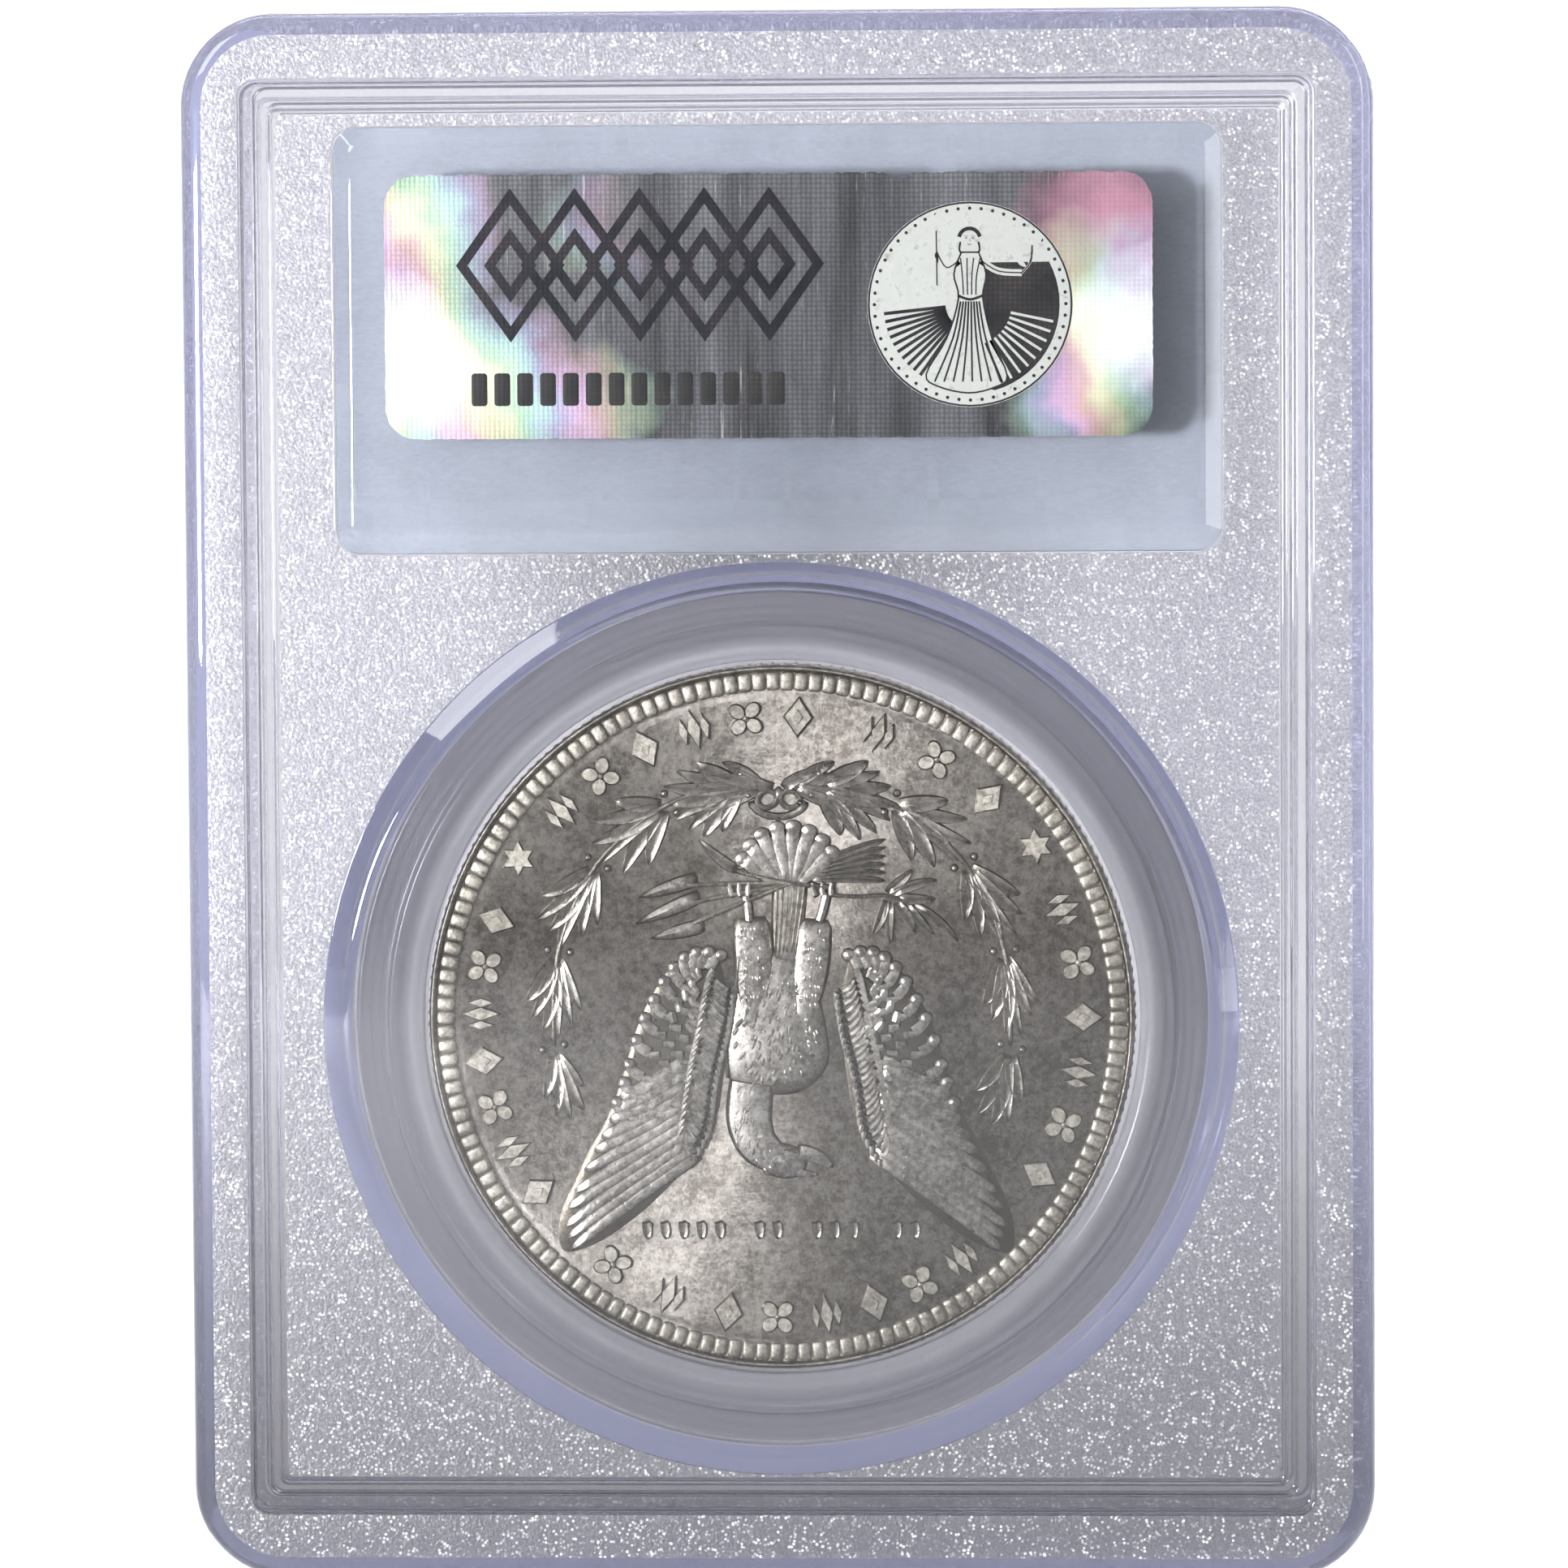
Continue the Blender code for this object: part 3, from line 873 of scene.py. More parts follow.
def copies_tree(name, in_row):
    """A node tree that sets copies of a piece round a circle, or along a row."""
    tree = bpy.data.node_groups.new(name, "GeometryNodeTree")
    sockets = (
        ("Geometry", "NodeSocketGeometry"),
        ("Piece", "NodeSocketObject"),
        ("Count", "NodeSocketInt"),
        ("Radius", "NodeSocketFloat"),
        ("Step", "NodeSocketVector"),
        ("Lift", "NodeSocketFloat"),
        ("Turn", "NodeSocketVector"),
        ("Centre", "NodeSocketVector"),
        ("Material", "NodeSocketMaterial"),
    )
    for label, kind in sockets:
        tree.interface.new_socket(label, in_out="INPUT", socket_type=kind)
    tree.interface.new_socket("Geometry", in_out="OUTPUT", socket_type="NodeSocketGeometry")
    given = add_node(tree, "NodeGroupInput").node.outputs
    piece = add_node(
        tree, "GeometryNodeObjectInfo", {"Object": given["Piece"], "As Instance": True}, output="Geometry"
    )
    index = add_node(tree, "GeometryNodeInputIndex")
    if in_row:
        points = add_node(tree, "GeometryNodeMeshLine", {"Count": given["Count"], "Offset": given["Step"]})
        turn = add_node(tree, "CombineXYZ")
    else:
        points = add_node(
            tree, "GeometryNodeMeshCircle", {"Vertices": given["Count"], "Radius": given["Radius"]}
        )
        share = add_node(tree, "Math", {0: index, 1: given["Count"]}, operation="DIVIDE")
        angle = add_node(tree, "Math", {0: share, 1: 2 * math.pi}, operation="MULTIPLY")
        turn = add_node(tree, "CombineXYZ", {"Z": angle})
    placed = add_node(
        tree, "GeometryNodeInstanceOnPoints", {"Points": points, "Instance": piece, "Rotation": turn}
    )
    real = add_node(tree, "GeometryNodeRealizeInstances", {0: placed})
    lift = add_node(tree, "CombineXYZ", {"Z": given["Lift"]})
    lifted = add_node(tree, "GeometryNodeTransform", {"Geometry": real, "Translation": lift})
    turned = add_node(
        tree,
        "GeometryNodeTransform",
        {"Geometry": lifted, "Rotation": given["Turn"], "Translation": given["Centre"]},
    )
    painted = add_node(tree, "GeometryNodeSetMaterial", {"Geometry": turned, "Material": given["Material"]})
    add_node(tree, "NodeGroupOutput", {0: painted})
    return tree


def make_copies(name, sample, values, in_row=False):
    """Runs a copies tree over an empty carrier and returns its result as one plain mesh object."""
    tree = copies_tree(name + "_tree", in_row)
    carrier = new_object(name, bpy.data.meshes.new(name))
    modifier = carrier.modifiers.new("Copies", "NODES")
    modifier.node_group = tree
    for item in tree.interface.items_tree:
        if item.in_out == "INPUT" and item.name in values:
            modifier[item.identifier] = values[item.name]
        if item.in_out == "INPUT" and item.name == "Piece":
            modifier[item.identifier] = sample
    bpy.context.view_layer.update()
    graph = bpy.context.evaluated_depsgraph_get()
    result = bpy.data.meshes.new_from_object(carrier.evaluated_get(graph))
    carrier.modifiers.remove(modifier)
    carrier.data = result
    result.name = name
    bpy.data.objects.remove(sample, do_unlink=True)
    bpy.data.node_groups.remove(tree)
    if not result.polygons:
        raise RuntimeError(f"{name} came out empty")
    return carrier


# ---------------------------------------------------------------------------------------------
# The clear halves


def slab_outline(settings, inset):
    """The slab's outline drawn in by a distance; past the edge rounding the ends are drawn in more."""
    share = (inset - settings.edge_round) / (settings.rim_side - settings.edge_round)
    share = min(max(share, 0.0), 1.0)
    end_inset = inset + share * (settings.rim_end - settings.rim_side)
    outer_radius = max(settings.corner_radius - max(inset, 0.0), 0.3 * MM)
    inner_radius = max(0.9 * MM - (inset - settings.rim_side) / 3, 0.25 * MM)
    radius = outer_radius + share * (inner_radius - outer_radius)
    return rounded_rectangle(SLAB_WIDTH - 2 * inset, SLAB_HEIGHT - 2 * end_inset, radius, 12)


def outer_profile(settings):
    """(inset, depth) from the seam, over the rounded edge and the rim, down two ledges to the field."""
    seam = settings.seam_gap / 2
    rim = settings.rim_side
    field = RIM_FACE - settings.field_depth
    small = 0.10 * MM
    wall = 0.12 * MM
    upper, lower = RIM_FACE - 0.35 * MM, RIM_FACE - 0.70 * MM
    first, second = 0.85 * MM, 0.55 * MM
    corners = (
        (0.10 * MM, seam, 0),
        (0, seam + 0.10 * MM, 0.05 * MM),
        (0, RIM_FACE, settings.edge_round),
        (rim, RIM_FACE, 0.16 * MM),
        (rim + wall, upper, small),
        (rim + first, upper, small),
        (rim + first + wall, lower, small),
        (rim + first + second, lower, small),
        (rim + first + second + wall, field, small),
        (rim + 1.75 * MM, field, 0),
    )
    return softened(corners, 5)


def window_profile(settings, bevel):
    """(inset, depth) over a window's sloped border, from the field to its flat top."""
    field = RIM_FACE - settings.field_depth
    top = field + settings.window_rise
    corners = (
        (-0.05 * MM, field, 0),
        (0, field, 0.04 * MM),
        (bevel, top, 0.22 * MM),
        (bevel + 0.35 * MM, top, 0),
    )
    return softened(corners, 4)


def holder_half(name, side, settings, materials):
    """One half of the holder, with its windows, weld bead and pockets."""
    bm = bmesh.new()
    seam = settings.seam_gap / 2

    outside = outer_profile(settings)
    loops = [
        add_loop(bm, slab_outline(settings, inset), side * depth, SLAB_MIDDLE) for inset, depth in outside
    ]
    for i in range(len(loops) - 1):
        on_rim = min(outside[i].y, outside[i + 1].y) > RIM_FACE - 1e-6
        on_edge = outside[i + 1].x <= settings.edge_round + 1e-6
        bridge(bm, loops[i], loops[i + 1], STIPPLED if on_rim else EDGE if on_edge else POLISHED)

    label_loops = []
    for inset, depth in window_profile(settings, settings.window_bevel):
        radius = max(1.4 * MM - inset * 0.8, 0.4 * MM)
        outline = rounded_rectangle(
            settings.window_width - 2 * inset, settings.window_height - 2 * inset, radius, 8
        )
        label_loops.append(add_loop(bm, outline, side * depth, CARD_CENTRE))
    coin_loops = []
    for inset, depth in window_profile(settings, settings.coin_window_bevel):
        outline = circle(settings.coin_window_radius - inset, ROUND_STEPS)
        coin_loops.append(add_loop(bm, outline, side * depth, COIN_CENTRE))
    # The coin window's border takes the edge material, whose darker tint is painted shade.
    for window, border in ((label_loops, POLISHED), (coin_loops, EDGE)):
        skin(bm, window, border)
        cap(bm, window[-1], POLISHED)
    fill_between(bm, (loops[-1], label_loops[0], coin_loops[0]), STIPPLED)

    mating_loop = weld_bead(bm, side, seam, settings, loops[0])
    pockets = (
        stepped_pocket(
            bm, side, gasket_pocket_profile(seam), COIN_CENTRE, lambda size: circle(size, ROUND_STEPS)
        ),
        stepped_pocket(bm, side, card_pocket_profile(seam), CARD_CENTRE, card_outline),
    )
    fill_between(bm, (mating_loop, *pockets), POLISHED)
    return mesh_object(name, bm, materials)


def weld_bead(bm, side, seam, settings, seam_loop):
    """The tongue of the rear half or the groove of the front half; returns its innermost loop."""
    inset, width, height, clearance = 1.8 * MM, 0.8 * MM, 0.7 * MM, 0.05 * MM
    if side == REAR:
        corners = (
            (inset, seam), (inset, seam - height), (inset + width, seam - height), (inset + width, seam)
        )
    else:
        floor = height - seam + clearance
        start, end = inset - clearance, inset + width + clearance
        corners = ((start, seam), (start, floor), (end, floor), (end, seam))
    loop = seam_loop
    for distance, depth in corners:
        radius = settings.corner_radius - distance
        outline = rounded_rectangle(SLAB_WIDTH - 2 * distance, SLAB_HEIGHT - 2 * distance, radius, 12)
        following = add_loop(bm, outline, side * depth, SLAB_MIDDLE)
        bridge(bm, loop, following, POLISHED, smooth=False)
        loop = following
    return loop


def gasket_pocket_profile(seam):
    """(radius, depth) of the stepped round pocket, from its mouth to its floor."""
    return (
        (23.1 * MM, seam),
        (23.1 * MM, 1.0 * MM),
        (21.4 * MM, 1.0 * MM),
        (21.4 * MM, 1.8 * MM),
    )


def card_pocket_profile(seam):
    """(clearance round the card, depth) of the card's pocket, from its mouth to its floor."""
    depth = (CARD_HIGH.y - CARD_LOW.y) / 2 + 0.1 * MM
    return ((0.3 * MM, seam), (0.3 * MM, depth))


def card_outline(clearance):
    """The card's outline, grown by a clearance."""
    size = CARD_HIGH - CARD_LOW
    return rounded_rectangle(size.x + 2 * clearance, size.z + 2 * clearance, 0.5 * MM + clearance, 6)


def stepped_pocket(bm, side, profile, centre, outline):
    """Sinks a pocket and returns the loop round its mouth."""
    loops = [add_loop(bm, outline(size), side * depth, centre) for size, depth in profile]
    skin(bm, loops, POLISHED, smooth=False)
    cap(bm, loops[-1], POLISHED)
    return loops[0]


# ---------------------------------------------------------------------------------------------
# Turned pieces


def turned(bm, profile, steps):
    """Turns a closed profile of (radius, y) points about the coin's axis."""
    rings = []
    for radius, y in profile:
        if radius < 1e-9:
            rings.append([bm.verts.new((COIN_CENTRE.x, y, COIN_CENTRE.z))])
        else:
            rings.append(add_loop(bm, circle(radius, steps), y, COIN_CENTRE))
    for lower, upper in zip(rings, rings[1:] + rings[:1]):
        if len(lower) > 1 and len(upper) > 1:
            bridge(bm, lower, upper)
        elif len(lower) > 1 or len(upper) > 1:
            pole, loop = (lower[0], upper) if len(lower) == 1 else (upper[0], lower)
            for i in range(len(loop)):
                bm.faces.new((pole, loop[i], loop[(i + 1) % len(loop)]))


def mirrored(half):
    """A profile closed by its own reflection in the plane y = 0."""
    return [*half, *[Vector((point.x, -point.y)) for point in reversed(half)]]


def gasket_profile():
    """Half the ring's section: a lip against the coin, the body, and the flange between the halves."""
    corners = (
        (19.25 * MM, 0, 0),
        (19.25 * MM, 1.25 * MM, 0.15 * MM),
        (19.75 * MM, 1.6 * MM, 0.2 * MM),
        (21.2 * MM, 1.6 * MM, 0.25 * MM),
        (21.2 * MM, 0.8 * MM, 0.2 * MM),
        (22.9 * MM, 0.8 * MM, 0.2 * MM),
        (22.9 * MM, 0, 0),
    )
    return mirrored(softened(corners, 4))


def coin_profile(settings):
    """Half the blank's section: sunk field, border channel and rounded rim."""
    rim = COIN_RIM_FACE
    field = rim - settings.field_depth
    body = COIN_RADIUS - 0.07 * MM
    corners = (
        (0, field, 0),
        (17.2 * MM, field, 0.2 * MM),
        (17.5 * MM, field - 0.02 * MM, 0.1 * MM),
        (18.62 * MM, field, 0.05 * MM),
        (18.70 * MM, rim - 0.03 * MM, 0.06 * MM),
        (body - 0.12 * MM, rim, 0.08 * MM),
        (body, rim - 0.14 * MM, 0.08 * MM),
        (body, 0, 0),
    )
    return mirrored(softened(corners, 3))


def bead_sample():
    """One border bead: a small pillow, long side towards the coin's centre, at the origin."""
    bm = bmesh.new()
    rings = ((1.0, -0.06), (1.0, 0.09), (0.86, 0.155), (0.55, 0.185))
    half_length, half_width = 0.50, 0.335
    loops = []
    for share, height in rings:
        outline = rounded_rectangle(2 * half_length * share, 2 * half_width * share, 0.17 * share, 2)
        loops.append([bm.verts.new((x * MM, y * MM, height * MM)) for x, y in outline])
    solid(bm, loops)
    return mesh_object("bead_sample", bm, [], 70)


def reed_sample(height):
    """One reed of the coin's edge: a rounded bar across its thickness."""
    bm = bmesh.new()
    across = ((-0.17, -0.06), (-0.12, 0.03), (0.0, 0.07), (0.12, 0.03), (0.17, -0.06))
    ends = [[bm.verts.new((x * MM, y * MM, z)) for y, x in across] for z in (-height / 2, height / 2)]
    solid(bm, ends)
    return mesh_object("reed_sample", bm, [], 40)


# ---------------------------------------------------------------------------------------------
# Relief


def curve_through(points, steps):
    """A smooth curve through points, as a list of 2-D points."""
    ends = [points[0], *points, points[-1]]
    ends = [Vector(point) for point in ends]
    curve = []
    for i in range(len(points) - 1):
        a, b, c, d = ends[i : i + 4]
        for step in range(steps):
            t = step / steps
            curve.append(
                0.5 * (
                    2 * b + (c - a) * t + (
                        2 * a - 5 * b + 4 * c - d
                    ) * t**2 + (3 * b - a - 3 * c + d) * t**3
                )
            )
    curve.append(ends[-1])
    return curve


def bent(start, end, bow, steps):
    """A gently bent line; bow is its sideways swing as a share of its length."""
    start, end = Vector(start), Vector(end)
    along = end - start
    middle = (start + end) / 2 + Vector((-along.y, along.x)) * bow
    points = []
    for step in range(steps + 1):
        t = step / steps
        points.append(start * (1 - t) ** 2 + middle * 2 * t * (1 - t) + end * t * t)
    return points


def to_left(direction):
    """The unit vector at a quarter turn to the left of a direction."""
    return Vector((-direction.y, direction.x)).normalized()


def sides(spine):
    """The unit vector to the left of a spine at each of its points."""
    last = len(spine) - 1
    return [to_left(spine[min(i + 1, last)] - spine[max(i - 1, 0)]) for i in range(last + 1)]


def around(centre, radius, degrees):
    """The point at a radius and angle from a centre."""
    angle = math.radians(degrees)
    return Vector((centre[0] + radius * math.cos(angle), centre[1] + radius * math.sin(angle)))


RELIEF_SCALE = 1.3
FOOT = -0.04
SOFT_SECTION = (0.8, 1.0, 0.8)
FULL_SECTION = (0.85, 1.0, 0.85)
BROAD_SECTION = (0.75, 0.95, 1.0, 0.95, 0.75)


class Relief:
    """Raised shapes on one face of the coin, drawn in millimetres: u right, v up, h above the field."""

    def __init__(self, side, settings):
        self.side = side
        self.field = COIN_RIM_FACE - settings.field_depth
        self.bm = bmesh.new()
        self.flip = 1
        self.shift = 0.0
        self.slot = 0

    def vertex(self, u, v, h):
        x = COIN_CENTRE.x - self.side * (self.flip * u + self.shift) * MM
        return self.bm.verts.new(
            (x, self.side * (self.field + h * RELIEF_SCALE * MM), COIN_CENTRE.z + v * MM)
        )

    def sheet(self, rows):
        """A closed shape under a grid of (u, v, h) points whose border lies below the field."""
        grid = [[self.vertex(*point) for point in row] for row in rows]
        for first, second in zip(grid, grid[1:]):
            for i in range(len(first) - 1):
                self.bm.faces.new((first[i], first[i + 1], second[i + 1], second[i]))
        border = grid[0] + [row[-1] for row in grid[1:-1]] + grid[-1][::-1] + [
            row[0] for row in grid[-2:0:-1]
        ]
        self.bm.faces.new(border)

    def blade(self, spine, width, height, section=(0.75, 1.0, 0.75), point=1.0, base=0.35, foot=FOOT):
        """A leaf or feather along a spine: section gives the heights across it, point the tip's shape."""
        last = len(spine) - 1
        rows = []
        for i, (place, side) in enumerate(zip(spine, sides(spine))):
            along = i / last
            swell = math.sin(
                math.pi * (base + (1 - base) * along)
            ) if along > 0 else math.sin(math.pi * base)
            half = width * max(swell, 0.0) ** point
            rise = foot if i in (0, last) else 1.0
            row = [(*(place - side * half), foot)]
            for j, share in enumerate(section):
                offset = half * (2 * (j + 1) / (len(section) + 1) - 1) * 1.5
                offset = max(-half * 0.8, min(half * 0.8, offset))
                h = foot if rise == foot else height * share
                row.append((*(place + side * offset), h))
            row.append((*(place + side * half), foot))
            rows.append(row)
        self.sheet(rows)

    def dome(self, outline, height, levels=5, foot=FOOT, sharpness=0.5):
        """A rounded mound over a closed outline."""
        centre = sum((Vector(p) for p in outline), Vector((0, 0))) / len(outline)
        loops = []
        for level in range(levels + 1):
            share = level / levels
            shrink = math.cos(share * math.pi / 2) if level < levels else 0.04
            rise = foot + (height - foot) * math.sin(share * math.pi / 2) ** (2 * sharpness)
            loops.append(
                [self.vertex(*(centre + (Vector(p) - centre) * shrink), rise) for p in outline]
            )
        solid(self.bm, loops)

    def plate(self, outline, height, slope=0.12, foot=FOOT):
        """A flat raised shape with sloped sides; its top takes the current material slot."""
        centre = sum((Vector(p) for p in outline), Vector((0, 0))) / len(outline)
        levels = ((1.0, foot), (1.0, height * 0.35), (1 - slope, height))
        loops = []
        for share, h in levels:
            loops.append([self.vertex(*(centre + (Vector(p) - centre) * share), h) for p in outline])
        skin(self.bm, loops)
        cap(self.bm, loops[0])
        cap(self.bm, loops[-1], self.slot)

    def cord(self, spine, half, height):
        """A rounded cord of even width."""
        rows = []
        last = len(spine) - 1
        for i, (place, side) in enumerate(zip(spine, sides(spine))):
            ended = i in (0, last)
            row = []
            for offset, share in ((-1, None), (-0.6, 0.75), (0, 1.0), (0.6, 0.75), (1, None)):
                h = FOOT if share is None or ended else height * share
                row.append((*(place + side * half * offset), h))
            rows.append(row)
        self.sheet(rows)

    def finish(self, name, materials):
        return mesh_object(name, self.bm, materials, 38)


def oval(centre, half_width, half_height, turn=0.0, steps=16):
    """Points of a turned oval."""
    turn = math.radians(turn)
    points = []
    for step in range(steps):
        angle = 2 * math.pi * step / steps
        x, y = half_width * math.cos(angle), half_height * math.sin(angle)
        points.append(
            Vector(
                (
                    centre[0] + x * math.cos(turn) - y * math.sin(turn),
                    centre[1] + x * math.sin(turn) + y * math.cos(turn),
                )
            )
        )
    return points


def star_outline(centre, outer, inner, points, turn):
    """Points of a star."""
    outline = []
    for i in range(2 * points):
        outline.append(around(centre, outer if i % 2 == 0 else inner, turn + 180 * i / points))
    return outline


def lozenge(centre, half_across, half_along, degrees):
    """A four-cornered mark whose long axis points away from the coin's centre."""
    return [
        around(centre, half_along, degrees),
        around(centre, half_across, degrees + 90),
        around(centre, half_along, degrees + 180),
        around(centre, half_across, degrees + 270),
    ]


def legend_mark(relief, degrees, kind, radius=16.2):
    """One plain ornament of the border legend: a lozenge, a four-lobed flower or a barred lozenge."""
    centre = around((0, 0), radius, degrees)
    height = 0.20
    if kind == 0:
        relief.plate(lozenge(centre, 0.82, 1.12, degrees), height, 0.14)
        relief.plate(lozenge(centre, 0.34, 0.50, degrees), height + 0.05, 0.3)
    elif kind == 1:
        for lobe in range(4):
            place = around(centre, 0.58, degrees + 45 + 90 * lobe)
            relief.plate(oval(place, 0.50, 0.40, degrees + 45 + 90 * lobe, 14), height, 0.18)
        relief.dome(oval(centre, 0.28, 0.28, 0, 10), height + 0.05, 3)
    else:
        for swing in (-1, 1):
            place = around(centre, 0.60, degrees + 90 * swing)
            relief.plate(lozenge(place, 0.26, 0.74, degrees), height, 0.16)
        relief.plate(lozenge(centre, 0.40, 1.12, degrees), height, 0.16)


def legend(relief, words):
    """Marks round the border in groups: each word is (first angle, last angle, number of marks)."""
    order = 0
    for first, last, count in words:
        for i in range(count):
            legend_mark(relief, first + (last - first) * i / (count - 1), order % 3)
            order += 1


def wreath_spray(relief, root, direction, spread, leaves, reach, rng):
    """A spray of narrow leaves that fan out from one joint of the stem, with its berries."""
    for i in range(leaves):
        share = i / (leaves - 1) - 0.5
        angle = direction + spread * share
        size = reach * (1 - 0.9 * share * share * 1.4) * rng.uniform(0.9, 1.05)
        start = around(root, 0.25, angle)
        end = around(root, size, angle)
        width = rng.uniform(0.42, 0.58)
        spine = bent(start, end, 0.10 if share < 0 else -0.10, 7)
        relief.blade(spine, width, rng.uniform(0.12, 0.17), (0.9, 0.55, 1.0), 0.75, 0.12)
    for swing in (-100, 100):
        berry = around(root, 0.62, direction + swing)
        relief.dome(oval(berry, 0.24, 0.24, 0, 10), 0.17, 3)


def wreath(relief, joints, seed, tie=()):
    """Two mirrored branches: each joint is (place, leaf direction, spread, leaves, reach)."""
    for flip in (1, -1):
        rng = random.Random(seed + flip)
        relief.flip = flip
        relief.cord(curve_through([*tie, *(joint[0] for joint in joints)], 6), 0.16, 0.12)
        for joint in joints:
            wreath_spray(relief, *joint, rng)
    relief.flip = 1


def bow_knot(relief, centre):
    """The ribbon that ties the wreath: two loops in one oval, their folds, a knot and two tails."""
    sash = [(centre[0] + 1.5 * math.cos(a), centre[1] - 0.30 + 0.98 * math.sin(a)) for a in
            [math.radians(185 + 17 * i) for i in range(11)]]
    relief.cord([Vector(place) for place in sash], 0.24, 0.19)
    for swing in (-1, 1):
        border = oval((centre[0] + swing * 0.62, centre[1] - 0.35), 0.54, 0.44, -20 * swing, 18)
        relief.cord([*border, border[0]], 0.17, 0.23)
        tail = bent(
            (centre[0] + swing * 0.2, centre[1] + 0.2),
            (centre[0] + swing * 2.3, centre[1] + 1.25),
            0.12,
            7,
        )
        relief.blade(tail, 0.38, 0.17, (0.9, 0.6, 1.0), 0.5, 0.3)
        for i in range(4):
            start = (centre[0] + swing * 0.8, centre[1] + 0.3)
            end = (centre[0] + swing * (3.1 + 0.45 * i), centre[1] + 1.7 - 0.85 * i)
            relief.blade(
                bent(start, end, 0.08 * swing * (1 if i < 2 else -1), 8),
                0.42,
                0.15,
                (0.95, 0.55, 1.0),
                0.7,
                0.12,
            )
    relief.dome(oval((centre[0], centre[1] - 0.1), 0.26, 0.48, 0, 12), 0.26, 4)


def tail_fan(relief, root, feathers=8):
    """The tail: broad round-ended feathers that fan upwards from the root."""
    for i in range(feathers):
        share = i / (feathers - 1)
        angle = 144 - 100 * share
        reach = 3.45 + 0.45 * math.sin(math.pi * share)
        height = 0.20 - 0.07 * abs(share - 0.5) + 0.02 * (i % 2)
        tip = around(root, reach, angle)
        relief.dome(
            oval(around(root, reach - 0.32, angle), 0.42, 0.47, angle, 14), height, 3, sharpness=0.2
        )
        relief.blade(bent(tip, around(root, 0.2, angle), 0.0, 8), 0.46, height, SOFT_SECTION, 0.6, 0.30)


WING_OUTER = (
    (-3.2, 3.65), (-4.3, 3.85), (-5.4, 3.45), (-6.3, 2.5), (-7.15, 1.1), (-7.9, -0.5), (-8.5, -2.45),
    (-8.95, -3.9), (-9.6, -5.5), (-10.5, -7.1), (-11.35, -8.9), (-12.0, -10.3), (-12.3, -11.8),
    (-12.1, -12.75), (-11.4, -12.95),
)
WING_INNER = (
    (-9.8, -12.3), (-8.2, -11.2), (-6.95, -10.15), (-5.7, -8.9), (-4.65, -7.65), (-3.75, -6.2),
    (-3.25, -4.95), (-3.1, -4.05), (-2.6, 0.6),
)


def wing(relief, flip, shift):
    """One spread wing: a low mound, scalloped edge, rows of coverts, flight feathers and bands."""
    relief.flip, relief.shift = flip, shift
    outline = curve_through([*WING_OUTER, *WING_INNER, WING_OUTER[0]], 3)[:-1]
    relief.dome(outline, 0.08, 4, sharpness=0.22)
    edge = curve_through(WING_OUTER[:9], 3)
    for i in range(len(edge) - 1):
        ahead = (edge[i + 1] - edge[i]).normalized()
        inward = Vector((-ahead.y, ahead.x))
        if i % 2 == 0:
            root, tip = edge[i] + inward * 1.35 + ahead * 0.45, edge[i] + inward * 0.1
            relief.blade(bent(root, tip, 0.12, 7), 0.38, 0.19, FULL_SECTION, 0.35, 0.25)
            relief.dome(oval(edge[i] + inward * 0.30, 0.44, 0.40, 0, 14), 0.23, 4, sharpness=0.4)
    for row in range(1, 6):
        for i in range(2, len(edge) - 1 - row, 2):
            ahead = (edge[i + 1] - edge[i]).normalized()
            inward = Vector((-ahead.y, ahead.x))
            reach = 0.62 * row + 0.35
            root = edge[i] + inward * (reach + 0.9) + ahead * (0.3 * row)
            tip = edge[i] + inward * reach + ahead * (0.3 * row + 0.25)
            relief.blade(bent(root, tip, 0.14, 5), 0.27, 0.20 + 0.008 * row, (0.85, 1.0, 0.7), 0.4, 0.25)

    tips = curve_through([(-8.9, -4.4), (-9.7, -6.1), (-10.9, -8.4), (-11.95, -11.0), (-11.6, -12.7)], 9)
    flight = 11
    for i in range(flight):
        share = i / (flight - 1)
        root = Vector((-4.9, -2.1)).lerp(Vector((-4.3, -7.3)), share)
        tip = tips[round(share * (len(tips) - 1))]
        spine = bent(root, tip, 0.10 - 0.14 * share, 12)
        relief.blade(spine, 0.54 - 0.12 * share, 0.20, (0.75, 0.80, 1.0, 0.72), 0.30, 0.20)
        for place in spine[3:10:2]:
            relief.dome(oval(place, 0.11, 0.05, 30 + 10 * i, 6), 0.24, 2)

    upper = curve_through(
        [(-3.5, 2.7), (-3.85, 1.3), (-4.25, -0.8), (-4.6, -2.3), (-4.9, -4.1), (-5.2, -6.0)], 5
    )
    lower = curve_through(
        [(-2.7, 1.4), (-3.0, -0.6), (-3.45, -2.3), (-3.8, -4.1), (-4.1, -6.0), (-5.1, -7.8)], 5
    )
    for i in range(len(upper) - 1):
        ahead = (upper[i + 1] - upper[i]).normalized()
        relief.blade(
            bent(upper[i], upper[i] + ahead * 0.75 + Vector((-0.30, 0)), -0.2, 5),
            0.20,
            0.27,
            SOFT_SECTION,
            0.5,
            0.3,
        )
        relief.blade(
            bent(lower[i], upper[i + 1] + ahead * 0.3, 0.25, 6), 0.22, 0.255, (0.9, 0.7, 1.0), 0.4, 0.3
        )
        relief.blade(
            bent(lower[i], lower[i + 1] + ahead * 0.35 + Vector((0.22, 0)), 0.2, 5),
            0.17,
            0.27,
            SOFT_SECTION,
            0.5,
            0.3,
        )
    relief.flip, relief.shift = 1, 0.0


